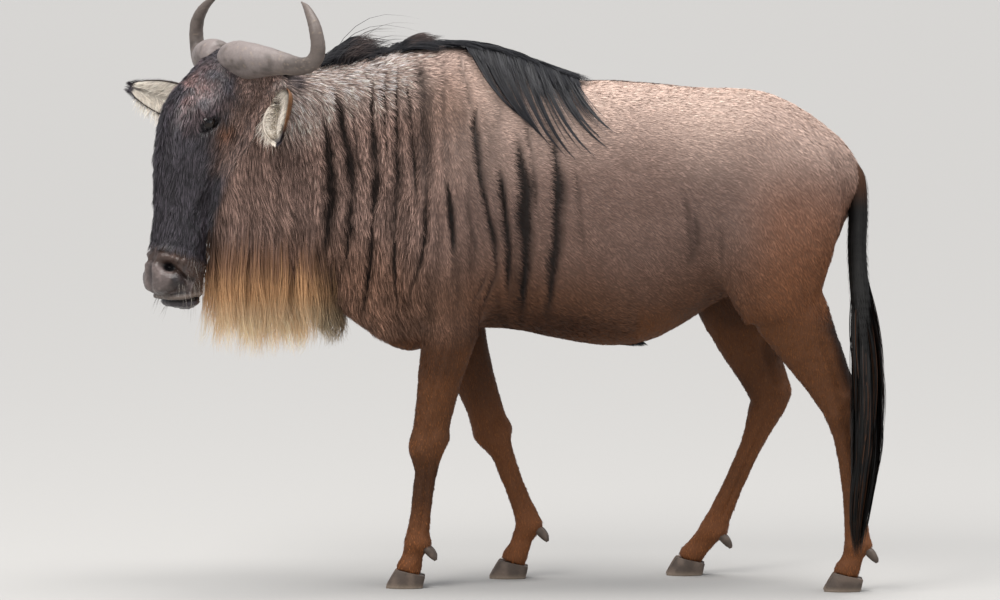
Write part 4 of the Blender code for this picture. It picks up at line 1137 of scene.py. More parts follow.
def hair_piece(name, look, slot_name, paths, widths, flats, roots, tips, places, normals=None):
    """Flat tapered strips along the paths: paths is strand, point along it, coordinate.

    The colours go from the root's to the tip's, or without tips, roots gives one for each point.
    """
    count, length, _ = paths.shape
    tangents = unit(np.gradient(paths, axis=1))
    across = unit(np.cross(tangents, flats[:, None, :]))
    along = np.linspace(0, 1, length)
    taper = (1 - along**1.7) * (0.65 + 0.35 * np.minimum(1, along / 0.3))
    sides = np.append(np.tile([-0.5, 0.5], length - 1), 0.0)
    wide = widths[:, None, None] * taper[None, :, None] * across
    points = doubled(paths) + sides[:, None] * doubled(wide) + SIDEWAYS
    each = 2 * length - 1
    cell = []
    for a in range(0, each - 3, 2):
        cell += [(a, a + 1, a + 3), (a, a + 3, a + 2)]
    cell.append((each - 3, each - 2, each - 1))
    corners = (np.array(cell) + each * np.arange(count)[:, None, None]).reshape(-1).astype(np.int32)
    colours = roots if tips is None else mix(roots[:, None], tips[:, None], np.tile(along, (count, 1)))
    shares = doubled(along[None])[0]
    spots = places[:, None, :] + PATCH * np.stack([sides, shares - 0.5], axis=1)

    mesh = bpy.data.meshes.new(name)
    mesh.vertices.add(count * each)
    mesh.vertices.foreach_set("co", points.reshape(-1))
    mesh.loops.add(len(corners))
    mesh.loops.foreach_set("vertex_index", corners)
    mesh.polygons.add(len(corners) // 3)
    mesh.polygons.foreach_set("loop_start", np.arange(0, len(corners), 3, dtype=np.int32))
    mesh.update(calc_edges=True)
    made = linked(name, mesh)
    paint(made, doubled(colours).reshape(-1, 3))
    layer = mesh.uv_layers.new(name="OFBake")
    layer.uv.foreach_set("vector", spots.reshape(-1, 2)[corners].reshape(-1))
    mesh.polygons.foreach_set("use_smooth", np.ones(len(corners) // 3, bool))
    if normals is not None:
        facing = unit(0.65 * normals[:, None, :] + 0.35 * np.cross(across, tangents))
        mesh.normals_split_custom_set_from_vertices(doubled(facing).reshape(-1, 3).tolist())
    finish(made, look, slot_name)


def scatter(mesh, wanted, chance):
    """Random places on a mesh for each zone: the zone, points and normals."""
    mesh.calc_loop_triangles()
    corners = np.empty(len(mesh.loop_triangles) * 3, int)
    mesh.loop_triangles.foreach_get("vertices", corners)
    corners = corners.reshape(-1, 3)
    points, normals = points_of(mesh)[corners], points_of(mesh, "normal")[corners]
    a, b, c = (points[:, i] for i in range(3))
    middles = (a + b + c) / 3
    zones = coat_zone(middles)
    weights = np.linalg.norm(np.cross(b - a, c - a), axis=1) / 2 * hair_density(middles)
    for zone, count in enumerate(wanted):
        here = np.nonzero(zones == zone)[0]
        share = weights[here] / weights[here].sum()
        chosen = here[chance.choice(len(here), size=count, p=share)]
        u, v = chance.random((2, count))
        flip = u + v > 1
        u, v = np.where(flip, 1 - u, u), np.where(flip, 1 - v, v)
        shares = np.stack([1 - u - v, u, v], axis=1)[..., None]
        spots = (points[chosen] * shares).sum(axis=1)
        yield zone, spots, unit((normals[chosen] * shares).sum(axis=1))


def hair_density(points):
    """More hair on the long-haired neck and the face, none on the bare muzzle and in the eyes."""
    places = mirrored(head_places(points))
    keep = step(places[:, 0], 0.474, 0.466) * step(eye_rings(places)[0], 1.25, 1.45)
    head = on_head(points)
    return (1 + 0.3 * step(points[:, 0], 0.0, -0.3)) * (1 - head) + head * keep


def make_coat(skin, look, face_look, chance):
    """The short coat in one piece for each part of the body."""
    names = list(COAT_TUFTS)
    for zone, roots, normals in scatter(skin.data, COAT_TUFTS.values(), chance):
        count = len(roots)
        length, width, lift = coat_sizes(roots)
        length = (length * chance.uniform(0.65, 1.2, count))[:, None]
        lift = (lift * chance.uniform(0.4, 1.7, count))[:, None]
        lie = fur_lie(roots, normals)
        roll = chance.uniform(-0.8, 0.8, (count, 1))
        flats = unit(normals + roll * np.cross(lie, normals))
        paths = np.stack([
            roots - normals * 0.0012,
            roots + (lie * 0.50 + normals * lift * 0.62) * length,
            roots + (lie + normals * lift * 0.80) * length,
        ], axis=1)
        colour = marking(roots)
        long_haired = step(roots[:, 0], -0.10, -0.30)
        clump = (0.20 + 0.16 * long_haired) * noise(roots, 0.008, 51)
        shade = 1 + clump + (1 + 0.4 * long_haired) * chance.uniform(-0.20, 0.20, count)
        # The face's pale tufts get a further gain: painted sheen on the black hair.
        painted_sheen = 0.9 if zone == HEAD_ZONE else 0
        light = chance.random(count) < 0.22 + 0.14 * long_haired
        gain = np.where(light, 1.55 + 1.25 * long_haired + painted_sheen, 1.12 - 0.30 * long_haired)
        root_colours = np.clip(colour * ((0.62 - 0.22 * long_haired) * shade)[:, None], 0, 1)
        tip_colours = np.clip(colour * (gain * shade)[:, None], 0, 0.9)
        hair_piece(
            "coat_" + names[zone], face_look if zone == HEAD_ZONE else look,
            {HEAD_ZONE: "face", LEG_ZONE: "leg"}.get(zone, "coat"),
            paths, width, flats, root_colours, tip_colours, unwrap(roots, zone), normals,
        )


def new_material(name, roughness, specular):
    made = bpy.data.materials.new(name)
    made.use_nodes = True
    shader = made.node_tree.nodes["Principled BSDF"]
    shader.inputs["Roughness"].default_value = roughness
    shader.inputs["Specular IOR Level"].default_value = specular
    return made, made.node_tree, shader


def tinted_material(name, roughness, specular, grain, strength, relief_depth=0.0):
    """The mesh's own colours, broken up by a fine grain, with a relief where it has a depth."""
    made, tree, shader = new_material(name, roughness, specular)

    def add(kind, setting=(), **inputs):
        node = tree.nodes.new("ShaderNode" + kind)
        if setting:
            setattr(node, *setting)
        for key, value in inputs.items():
            node.inputs[key.replace("_", " ")].default_value = value
        return node

    def join_up(first, output, second, entry):
        tree.links.new(first.outputs[output], second.inputs[entry])

    tint = add("Attribute", ("attribute_name", "tint"))
    place = add("TexCoord")
    grains = add("TexNoise", Scale=grain, Detail=4.0)
    ramp = add("MapRange", To_Min=1 - strength, To_Max=1 + strength)
    blend = add("VectorMath", ("operation", "SCALE"))
    join_up(place, "Object", grains, "Vector")
    join_up(grains, "Fac", ramp, "Value")
    join_up(tint, "Color", blend, 0)
    join_up(ramp, "Result", blend, "Scale")
    join_up(blend, "Vector", shader, "Base Color")
    if relief_depth:
        relief = add("Bump", Strength=0.6, Distance=relief_depth)
        join_up(grains, "Fac", relief, "Height")
        join_up(relief, "Normal", shader, "Normal")
    return made


def resampled(paths, ends):
    """Each path cut off at its own share of the whole length, with as many points as before."""
    count, length, _ = paths.shape
    places = np.linspace(0, 1, length) * ends[:, None] * (length - 1)
    first = np.minimum(places.astype(int), length - 2)
    rows = np.arange(count)[:, None]
    return mix(paths[rows, first], paths[rows, first + 1], places - first)


def hair_locks(centres, outs, count, sizes, gather, chance, shortest=0.66, wave=0.12):
    """Many strands about each lock's middle path, gathered towards its tip."""
    centres, outs = np.array(centres), np.array(outs)
    locks, length, _ = centres.shape
    along = np.linspace(0, 1, length)
    sides = unit(np.cross(unit(np.gradient(centres, axis=1)), outs[:, None, :]))
    closing = 1 - gather * along**1.2
    aside = chance.uniform(-1, 1, (locks, count, 1)) * closing
    phase = chance.uniform(0, 2 * math.pi, (locks, count, 1))
    aside = aside + wave * np.sin(phase + 5.5 * along) * along
    above = chance.uniform(-1, 1, (locks, count, 1)) * closing
    paths = centres[:, None] + sides[:, None] * (sizes[0] * aside)[..., None]
    paths = paths + outs[:, None, None, :] * (sizes[1] * above)[..., None]
    paths = paths.reshape(-1, length, 3)
    paths = resampled(paths, chance.uniform(shortest, 1.0, len(paths)))
    roll = chance.uniform(-0.7, 0.7, (locks, count, 1))
    flats = unit(outs[:, None] + roll * sides[:, None, 0]).reshape(-1, 3)
    return paths, flats, np.repeat(outs, count, axis=0)


def varied(colour, count, chance, spread=0.2):
    return np.clip(np.asarray(colour) * (1 + chance.uniform(-spread, spread, (count, 1))), 0, 1)


def over_skin(tree, point, lift):
    """The point moved to a height above the nearest skin, and the skin's direction there."""
    place, normal, _, _ = tree.find_nearest(Vector(point))
    return np.array(place) + np.array(normal) * lift, np.array(normal)


def beside_skin(tree, x, z, side):
    """The skin's place and direction at x and z, seen from one side, or the nearest to it."""
    place, facing, _, _ = tree.ray_cast(Vector((x, side, z)), Vector((0, -side, 0)))
    if place is None:
        return over_skin(tree, (x, side * 0.03, z), 0)
    return np.array(place), np.array(facing)


def mane_line(tree, share, side, reach, lift):
    """A strand's way from the top of the withers down and back over the side."""
    ends = np.array(MANE_ENDS)
    root = MANE_START + (MANE_STOP - MANE_START) * share
    root = np.array([root, trunk_at(root)[0]])
    tip = np.array([np.interp(share, ends[:, 0], ends[:, i]) for i in (1, 2)])
    turn = root + MANE_TURN * (tip - root)
    way = np.linspace(0, reach, MANE_POINTS)
    line, facing = [], []
    for along in way:
        x, z = (1 - along) ** 2 * root + 2 * along * (1 - along) * turn + along**2 * tip
        place, normal = beside_skin(tree, x, z, side)
        height = 0.007 + lift * math.sin(math.pi * min(1.0, 0.1 + 0.75 * along))
        line.append(place + normal * height)
        facing.append(normal)
    return softened(np.array(line), 2), unit(np.mean(facing, axis=0))


def top_line(tree, chance):
    """A lock's way back along the top of the neck and withers, leaning a little to one side."""
    x = chance.uniform(-0.270, 0.110)
    side = -1 if chance.random() < 0.65 else 1
    lean, far = chance.uniform(0, 7), chance.uniform(0.07, 0.12)
    line = []
    for along in np.linspace(0, 1, MANE_POINTS):
        point = trunk_surface(x + far * along, side * (lean + 10 * along**1.6))
        line.append(over_skin(tree, point, 0.006 + 0.009 * math.sin(math.pi * (0.15 + 0.7 * along))))
    line, facing = (np.array(part) for part in zip(*line))
    return line, unit(facing.mean(axis=0))


def make_mane(tree, look, chance):
    """Long black hair over the withers: parted wisps, over shorter hair that covers the top."""
    made = []
    for side, locks, strands, reaches, spread, gather in MANE_SETS:
        lines = []
        for i in range(locks):
            share = np.clip((i + 0.5 + 0.8 * chance.uniform(-0.5, 0.5)) / locks, 0, 1)
            reach = chance.uniform(*reaches)
            if side:
                lines.append(mane_line(tree, share, side, reach, chance.uniform(0.004, 0.014)))
            else:
                lines.append(top_line(tree, chance))
        made.append(hair_locks(*zip(*lines), strands, (spread, 0.0040), gather, chance, wave=0.10))
    paths, flats, facing = (np.concatenate(part) for part in zip(*made))
    count = len(paths)
    hair_piece(
        "mane", look, "hair", paths, chance.uniform(0.0011, 0.0022, count), flats,
        varied(MANE_COLOUR * 0.7, count, chance), varied(MANE_COLOUR * 1.5, count, chance, 0.5),
        unwrap(paths[:, 0], 2), facing,
    )


def crest_height(x):
    """How tall the hair along the neck's top stands at x."""
    return 0.022 + 0.046 * hump(x, -0.405, 0.050) + 0.016 * hump(x, -0.245, 0.045)


def make_crest(look, chance):
    """Upright hair along the top of the neck, leaning back, tallest behind the horns."""
    count = CREST_STRANDS
    x = -0.60 + 0.40 * chance.random(count) ** 0.9
    top, _, _, middle, _ = trunk_at(x)
    aside = chance.normal(0, 0.010, count)
    clump = noise(np.stack([x, aside, 0 * x], axis=1), 0.014, 61)
    stray = (chance.random(count) < 0.02) * (x < -0.30)
    tall = crest_height(x) * chance.uniform(0.55, 1.1, count) * (1 + 0.35 * clump) * (1 + 0.7 * stray)
    along = np.linspace(0, 1, 8)
    reach = ((0.022 + 0.75 * tall + 0.05 * stray) * (1 + 0.5 * clump))[:, None] * along**1.5
    rise = tall[:, None] * np.sin(0.5 * math.pi * np.minimum(1.0, 1.2 * along)) - 0.006
    rise = rise - (0.35 * tall * np.abs(clump))[:, None] * along**3
    paths = np.stack([
        x[:, None] + reach,
        (middle + aside)[:, None] + (aside * 0.9 + 0.012 * clump)[:, None] * along,
        (top - 0.3 * np.abs(aside))[:, None] + rise,
    ], axis=2)
    facing = unit(np.stack([0 * x, np.where(aside < 0, -1.0, 1.0), 0.6 + 0 * x], axis=1))
    flats = unit(facing + chance.normal(0, 0.5, (count, 3)))
    tips = mix(MANE_COLOUR * 1.5, NECK_COLOUR, 0.30 * step(noise(paths[:, 0], 0.03, 62), 0.1, 0.8))
    hair_piece(
        "crest", look, "hair", paths, chance.uniform(0.0010, 0.0020, count), flats,
        varied(MANE_COLOUR, count, chance), tips * chance.uniform(0.7, 1.3, (count, 1)),
        unwrap(paths[:, 0], 1), facing,
    )


def beard_colour(paths, tone, chance):
    """Neck brown above, tan lower down and fair at the ends, by height and by each lock's tone."""
    x, along = paths[:, :1, 0], np.linspace(0, 1, paths.shape[1])
    uneven = 0.034 * (tone - 0.5)[:, None] + 0.010 * chance.normal(size=(len(paths), 1))
    height = paths[:, :, 2] + uneven
    dark_back = step(x, -0.480, -0.420) * (0.45 + 0.5 * chance.random((len(paths), 1)))
    colour = layered(
        BEARD_COLOUR,
        (BEARD_ROOT_COLOUR, step(height, 0.690, 0.775)),
        (NECK_COLOUR * 0.9, step(height, 0.765, 0.850)),
        (BEARD_TIP_COLOUR, step(height, 0.705, 0.615) * (0.35 + 0.65 * tone)[:, None]),
        (FOLD_COLOUR * 2.0, 0.75 * step(x, -0.655, -0.690) * step(along, 0.60, 0.15)),
        (FOLD_COLOUR * 1.6, dark_back),
    )
    return np.clip(colour * chance.uniform(0.72, 1.22, (len(paths), 1, 1)), 0, 0.9)


def beard_line(tree, number, chance):
    """A lock's way down from the throat or lower cheek, and the direction that it faces."""
    along = ((number * GOLDEN_SHARE) % 1.0 + 0.04 * chance.normal()) % 1.0
    x = -0.700 + 0.295 * along
    side = -1 if number % 2 else 1
    turn = 180 - 78 * chance.random() ** 1.3
    root, _ = over_skin(tree, trunk_surface(x, side * turn), -0.003)
    low = BEARD_TIP - 0.018 + 0.018 * abs(chance.normal()) + 0.060 * abs(along - 0.40) ** 1.2
    low += 0.075 * (chance.random() < 0.35) * chance.random()
    drift = 0.022 * chance.normal() + 0.016 * (along - 0.5)
    phase, swing = chance.uniform(0, 2 * math.pi), chance.uniform(0.004, 0.012)
    inward = 0.75 * (trunk_at(x)[3] - root[1])
    shares = np.linspace(0, 1, 11)
    fall = root[2] + (low - root[2]) * shares
    line = np.stack([
        root[0] + drift * shares**1.2 + swing * np.sin(phase + 8.5 * shares) * shares,
        root[1] + inward * step(fall, 0.735, 0.600) + 0.8 * swing * np.sin(phase + 7 * shares) * shares,
        fall,
    ], axis=1)
    for index in range(1, len(line)):
        place, normal = over_skin(tree, line[index], 0)
        if (line[index] - place) @ normal < BEARD_GAP and line[index, 2] > 0.66:
            line[index] = place + normal * BEARD_GAP
    return line, unit(np.array([-0.30, side, 0.0]))


def make_beard(tree, look, chance):
    """Long waving hair from the throat and lower cheeks, brown above, fair and thin at the tips."""
    lines, tones = [], []
    for number in range(BEARD_LOCKS):
        lines.append(beard_line(tree, number, chance))
        tones.append(chance.random())
    made = hair_locks(*zip(*lines), BEARD_STRANDS, (0.0160, 0.008), 0.42, chance, 0.60, 0.50)
    paths, flats, facing = made
    count = len(paths)
    tone = np.clip(np.repeat(tones, BEARD_STRANDS) + 0.25 * chance.normal(size=count), 0, 1)
    hair_piece(
        "beard", look, "coat", paths, chance.uniform(0.0008, 0.0017, count), flats,
        beard_colour(paths, tone, chance), None, unwrap(paths[:, 0], 1), facing,
    )


def short_hairs(roots, along, out, bend, lift):
    """Three points down each short hair, lifted off the skin past its bend."""
    return np.stack([roots, roots + along * bend + out * lift, roots + along + out * 0.14], axis=1)


def make_tail_hair(look, chance):
    """Long locks that leave the dock all round and hang down to the tuft's end."""
    rows = smooth_rows(TUFT, 8)
    rings = np.array(path_rings(rows, TUFT_COLUMNS))
    last = len(rows) - 1
    shares = np.linspace(0, 1, 10)
    lines, spots = [], []
    for _ in range(TAIL_LOCKS):
        start = 0.60 * chance.random() ** 0.85
        end = min(1.0, start + chance.uniform(0.36, 0.56))
        turn = chance.uniform(0, TUFT_COLUMNS)
        out = chance.uniform(0.45, 1.0)
        index = np.clip(np.round((start + (end - start) * shares) * last).astype(int), 0, last)
        edge = rings[index, (turn + 2.0 * shares).astype(int) % TUFT_COLUMNS]
        reach = out * (0.30 + 0.70 * np.sin(0.5 * math.pi * np.minimum(1, shares / 0.45)))
        middle = rows[index, :3]
        path = middle + (edge - middle) * (reach * (1 - 0.15 * shares**3))[:, None]
        lines.append((softened(path, 2), unit(edge[0] - middle[0])))
        spots.append((turn / TUFT_COLUMNS, start))
    made = hair_locks(*zip(*lines), TAIL_STRANDS, (0.010, 0.005), 0.55, chance, wave=0.2)
    paths, flats, facing = made
    count = len(paths)
    places = np.repeat(spots, TAIL_STRANDS, axis=0) * (1 - 4 * PATCH) + 2 * PATCH
    tips = mix(TAIL_COLOUR * 1.3, LEG_COLOUR * 0.45, chance.random(count) < 0.12)
    hair_piece(
        "tail_hair", look, "hair", paths, chance.uniform(0.0016, 0.0030, count), flats,
        varied(TAIL_COLOUR * 0.8, count, chance), tips * chance.uniform(0.7, 1.25, (count, 1)),
        places, facing,
    )


def make_tail(look, hide, chance):
    """The dock with its short hair, and the long black hair round it down to the hocks."""
    rows = smooth_rows(TAIL, 6)
    rows = np.column_stack([rows, rows[:, 3]])
    rows[:, 3:] -= 0.002
    rings = np.array(path_rings(rows, DOCK_COLUMNS))
    dock = loft("tail_dock", rings)
    black = step(points_of(dock.data)[:, 2], 0.96, 0.88)
    dress(dock, mix(LEG_DARK_COLOUR, TAIL_COLOUR, black), hide, "hair", "tail")
    make_tail_hair(look, chance)

    count = SHORT_HAIRS
    index = chance.integers(0, len(rows) - 4, count)
    roots = rings[index, chance.integers(0, DOCK_COLUMNS, count)]
    out = unit(roots - rows[index, :3])
    down = unit(rows[index + 3, :3] - rows[index, :3])
    length = chance.uniform(0.014, 0.034, count)[:, None]
    paths = short_hairs(roots, down * length, out * length, 0.50, 0.12)
    colours = mix(LEG_DARK_COLOUR, TAIL_COLOUR, step(roots[:, 2], 0.97, 0.90))
    places = np.stack([index / len(rows), (roots[:, 1] * 7) % 1], axis=1) * 0.98 + 0.01
    widths = np.full(count, 0.0018)
    hair_piece("tail_coat", look, "hair", paths, widths, out, colours * 0.8, colours * 1.3, places, out)


def make_belly_tuft(look, chance):
    """The small black tuft under a bull's belly."""
    count = BELLY_HAIRS
    x = chance.uniform(0.235, 0.305, count)
    y = chance.normal(0, 0.010, count)
    bottom = trunk_at(x)[1] + 0.010
    shares = np.linspace(0, 1, 5)
    length = (chance.uniform(0.010, 0.026, count) * step(x, 0.225, 0.29))[:, None] + 0.006
    paths = np.stack([
        x[:, None] + 0.90 * length * shares,
        y[:, None] * (1 - 0.5 * shares),
        bottom[:, None] - length * 0.55 * shares**1.2,
    ], axis=2)
    facing = np.stack([0 * x, np.where(y < 0, -1.0, 1.0), 0 * x], axis=1)
    hair_piece(
        "belly_tuft", look, "hair", paths, chance.uniform(0.0010, 0.0020, count), facing,
        varied(MANE_COLOUR * 0.6, count, chance), varied(MANE_COLOUR, count, chance),
        unwrap(paths[:, 0], 3), facing,
    )


def ear_rings(root, axis, front):
    """The outside and the hollow of an ear's cup, as rows of points from its root to its tip."""
    across = np.cross(axis, front)
    turns = np.linspace(-1.75, 1.75, EAR_COLUMNS)[:, None]
    backs, hollows = [], []
    for share in np.linspace(0, 1, EAR_ROWS):
        half = 0.004 + 0.038 * math.sin(math.pi * min(1, share * 0.88 + 0.10)) ** 0.8
        cup = 0.026 * (1 - share) ** 0.6 + 0.004
        wall = 0.0045 - 0.003 * share
        middle = root + axis * EAR_LENGTH * share + front * 0.012 * math.sin(math.pi * share)
        deep = (cup - wall) * (0.3 + 0.7 * min(1, share / 0.08))
        aside = across * (half - wall) * np.sin(turns * 0.93)
        backs.append(middle + across * half * np.sin(turns) - front * cup * np.cos(turns))
        hollows.append(middle + aside - front * deep * np.cos(turns * 0.93))
    return np.array(backs), np.array(hollows)


def make_ear(name, hide, look, chance):
    """The leaf-shaped cup of an ear, with short hair outside and long fair hair inside."""
    place, direction, opening = EARS[name]
    root = head_point(*place)
    axis = unit(direction)
    front = unit(opening - axis * np.dot(opening, axis))
    backs, hollows = ear_rings(root, axis, front)
    near = name == "left"
    # The far ear's rim is near-black where the near ear's is brown: painted shade on the far ear.
    rim_colour = EAR_COLOUR if near else MUZZLE_COLOUR * 0.6
    fair_edge = 0.9 if near else 0.0
    last = EAR_ROWS - 1

    ear = loft("ear_" + name + "_skin", np.concatenate([backs, hollows[:, ::-1]], axis=1))
    along = ((points_of(ear.data) - root) @ axis) / EAR_LENGTH
    inside = np.tile(np.repeat([0.0, 1.0], EAR_COLUMNS), EAR_ROWS)
    turn = np.linspace(-1, 1, EAR_COLUMNS)
    rim = np.tile(np.concatenate([turn, turn[::-1]]), EAR_ROWS)
    inner = inside * step(along, 0.98, 0.8) * step(np.abs(rim), 0.98, 0.8)
    colours = layered(
        FACE_COLOUR,
        (rim_colour, step(np.abs(rim), 0.45, 0.75) * step(along, 0.98, 0.75)),
        (EAR_HAIR_COLOUR * 0.7, fair_edge * step(rim, 0.55, 0.80)),
        (EAR_HAIR_COLOUR * 0.55, inner),
    )
    dress(ear, colours, hide, "coat", "ear_" + name)

    count = SHORT_HAIRS
    i, j = chance.integers(0, last, count), chance.integers(0, EAR_COLUMNS - 1, count)
    u, v = chance.random((2, count, 1))
    near_edge = backs[i, j] * (1 - u) + backs[i + 1, j] * u
    far_edge = backs[i, j + 1] * (1 - u) + backs[i + 1, j + 1] * u
    roots = near_edge * (1 - v) + far_edge * v
    out = unit(roots - (root + axis * EAR_LENGTH * (i / last)[:, None]) - front * 0.01)
    length = chance.uniform(0.008, 0.016, count)[:, None]
    paths = short_hairs(roots, axis * length, out * length, 0.60, 0.10)
    turn = j / EAR_MIDDLE - 1
    colour = layered(
        FACE_COLOUR,
        (rim_colour, step(np.abs(turn), 0.45, 0.75) * step(i / last, 0.98, 0.75)),
        (EAR_HAIR_COLOUR * 0.7, fair_edge * step(turn, 0.50, 0.75)),
    )
    places = np.stack([i / EAR_ROWS, j / EAR_COLUMNS], axis=1) * 0.45 + 0.02
    outer = (paths, np.full(count, 0.0015), out, colour * 0.75, colour * 1.35, places, out)

    i = (chance.random(count) ** 1.1 * 30).astype(int)
    one_edge = chance.random(count) < 0.5
    edge = np.where(one_edge, *[chance.integers(*columns, count) for columns in EAR_EDGES])
    roots = hollows[i, edge]
    lower = edge > EAR_MIDDLE if near else hollows[15, edge, 2] < hollows[15, EAR_MIDDLE, 2]
    hanging = lower * (chance.random(count) < 0.45)
    inward = unit(root + axis * EAR_LENGTH * (i / last)[:, None] + front * 0.02 - roots)
    length = chance.uniform(0.020, 0.046, count) * (1 - 0.45 * i / last)
    way = mix(axis * 0.55 + inward * 0.75, HEAD_DOWN * 0.9 - inward * 0.35 + front * 0.25, hanging)
    way = way + (0.10 + 0.16 * hanging)[:, None] * chance.normal(size=(count, 3))
    length = length * chance.uniform(0.55, 1.15, count)
    shares = np.linspace(0, 1, 5)[None, :, None]
    bow = front * (0.35 * shares - 0.45 * shares**2)
    paths = roots[:, None] + length[:, None, None] * (way[:, None] * shares + bow)
    facing = np.broadcast_to(front, roots.shape)
    dark = varied(EAR_HAIR_COLOUR * 0.62, count, chance, 0.35)
    fair = varied(EAR_HAIR_COLOUR, count, chance, 0.3)
    places = np.stack([i / EAR_ROWS, edge / EAR_COLUMNS], axis=1) * 0.45 + 0.52
    widths = np.full(count, 0.0016)
    inner = (paths, widths, facing, dark, fair, places, facing)
    hair_piece("ear_" + name + "_inner_hair", look, "coat", *inner)
    hair_piece("ear_" + name + "_hair", look, "coat", *outer)


def make_horn(name, side, look):
    """A smooth horn from its broad boss out, down and round to the tip."""
    around = around_ring(HORN_COLUMNS)
    rows = smooth_rows(HORN, 9)
    centre = np.array([head_point(down, out, left * side) for left, down, out, _ in rows])
    rings = []
    for point, tangent, radius in zip(centre, unit(np.gradient(centre, axis=0)), rows[:, 3]):
        up = unit(HEAD_OUT - tangent * np.dot(HEAD_OUT, tangent))
        ring = np.outer(np.cos(around), up) * 1.05 + np.outer(np.sin(around), np.cross(tangent, up))
        rings.append(point + radius * ring)
    horn = loft(f"horn_{name}_shell", rings)
    points = points_of(horn.data)
    _, y, z = points.T
    steps = np.linalg.norm(np.diff(centre, axis=0), axis=1)
    far = np.repeat(np.concatenate([[0], np.cumsum(steps)]), HORN_COLUMNS)
    height = 0.0007 * noise(points, 0.012, 71) + 0.0005 * noise(points, 0.004, 72)
    height *= step(far, 0.16, 0.05)
    height += 0.0005 * noise(np.stack([far * 3, y, z], axis=1), 0.020, 75)
    move_points(horn.data, points + points_of(horn.data, "normal") * height[:, None])
    stain = step(noise(points, 0.028, 73) + 0.5 * noise(points, 0.009, 74), 0.1, 0.9)
    scratch = step(noise(np.stack([far * 2, y * 6, z * 6], axis=1), 0.018, 76), 0.45, 0.80)
    colours = layered(
        HORN_BOSS_COLOUR,
        (HORN_COLOUR, step(far, 0.10, 0.24)),
        (HORN_TIP_COLOUR, step(far, 0.40, 0.56)),
        (HORN_COLOUR * 0.50, 0.70 * stain),
        (DUST_COLOUR, 0.35 * scratch),
    )
    dress(horn, colours, look, "horn", "horn_" + name)


def claw_outline(count):
    """Half of a cloven hoof from above: x forward, y away from the cleft."""
    around = around_ring(count)
    forward = 0.5 * CLAW_LENGTH * np.cos(around)
    aside = 0.5 * CLAW_WIDTH * power(np.sin(around), 0.85)
    aside *= 1 - 0.42 * np.clip(np.cos(around), 0, 1) ** 1.6
    return forward, np.maximum(aside, -0.5 * CLAW_WIDTH * 0.80)


def make_claw(leg, side, number, look):
    """One half of a cloven hoof, with growth rings and a worn lower edge."""
    sole = LEGS[leg][4]
    forward, aside = claw_outline(44)
    rings = []
    for share in CLAW_LEVELS:
        edge = 1 - 0.05 * max(0.0, 1 - share / 0.07)
        edge *= 1 - 0.05 * max(0.0, (share - 0.88) / 0.12) ** 2
        x = forward * (1 - 0.22 * share) * edge - 0.016 * share
        y = aside * (1 - 0.12 * share) * edge
        y = y + np.sign(y) * 0.0006 * math.sin(share * 34)
        height = HEEL_HEIGHT + (CLAW_HEIGHT - HEEL_HEIGHT) * (x + 0.5 * CLAW_LENGTH) / CLAW_LENGTH
        rings.append(np.stack([sole[0] - x, sole[1] + side * (CLAW_APART + y), height * share], axis=1))
    claw = loft(f"hoof_{leg}_{number}_wall", rings)
    claw.data.set_sharp_from_angle(angle=math.radians(50))
    points = points_of(claw.data)
    colours = layered(
        HOOF_COLOUR,
        (HOOF_COLOUR * 1.9, step(noise(points, 0.02, 81), -0.2, 0.9)),
        (DUST_COLOUR, 0.5 * step(points[:, 2], 0.014, 0.0)),
    )
    dress(claw, colours, look, "hoof", f"hoof_{leg}_{number}")


def make_dewclaw(leg, side, number, look):
    middle = np.array(LEGS[leg][2]) + np.array([0.030, side * 0.016, -0.020])
    rows = [
        (*(middle + np.array([back, side * aside, up])), radius, radius)
        for back, aside, up, radius in DEWCLAW
    ]
    claw = loft(f"dewclaw_{leg}_{number}_wall", path_rings(smooth_rows(rows, 5), 20))
    pale = step(noise(points_of(claw.data), 0.01, 82), -0.3, 0.8)
    dress(claw, mix(HOOF_COLOUR, HOOF_COLOUR * 1.6, pale), look, "hoof", f"dewclaw_{leg}_{number}")


def make_eye(name, side, look):
    """A wet dark eyeball with a brown iris and a long level pupil."""
    gaze = unit(HEAD_LEFT * side * 0.90 + HEAD_OUT * 0.40 - HEAD_DOWN * 0.05)
    middle = head_point(EYE_PLACE[0], EYE_PLACE[1], EYE_PLACE[2] * side) - EYE_INSET * gaze
    mesh = bpy.data.meshes.new(f"eye_{name}_ball")
    work = bmesh.new()
    bmesh.ops.create_uvsphere(work, u_segments=96, v_segments=64, radius=EYE_RADIUS)
    bmesh.ops.translate(work, verts=work.verts, vec=Vector(middle))
    work.to_mesh(mesh)
    work.free()
    mesh.shade_smooth()
    level = unit(np.cross(gaze, UP))
    apart = (points_of(mesh) - middle) / EYE_RADIUS
    across, up, ahead = apart @ level, apart @ np.cross(level, gaze), apart @ gaze > 0
    ring = np.hypot(across, up)
    fleck = noise(np.stack([np.arctan2(up, across) * 3, ring * 0.6, 0 * ring], axis=1), 0.20, 91)
    colours = layered(
        EYE_WHITE_COLOUR,
        (IRIS_COLOUR * (1 + 0.25 * fleck)[:, None], step(ring, 0.66, 0.60) * ahead),
        (IRIS_COLOUR * 0.3, hump(ring, 0.62, 0.05) * ahead),
        (PUPIL_COLOUR, step(np.hypot(across / 0.36, up / 0.17), 1.08, 0.92) * ahead),
    )
    dress(linked(mesh.name, mesh), colours, look, "eye", "eye_" + name)


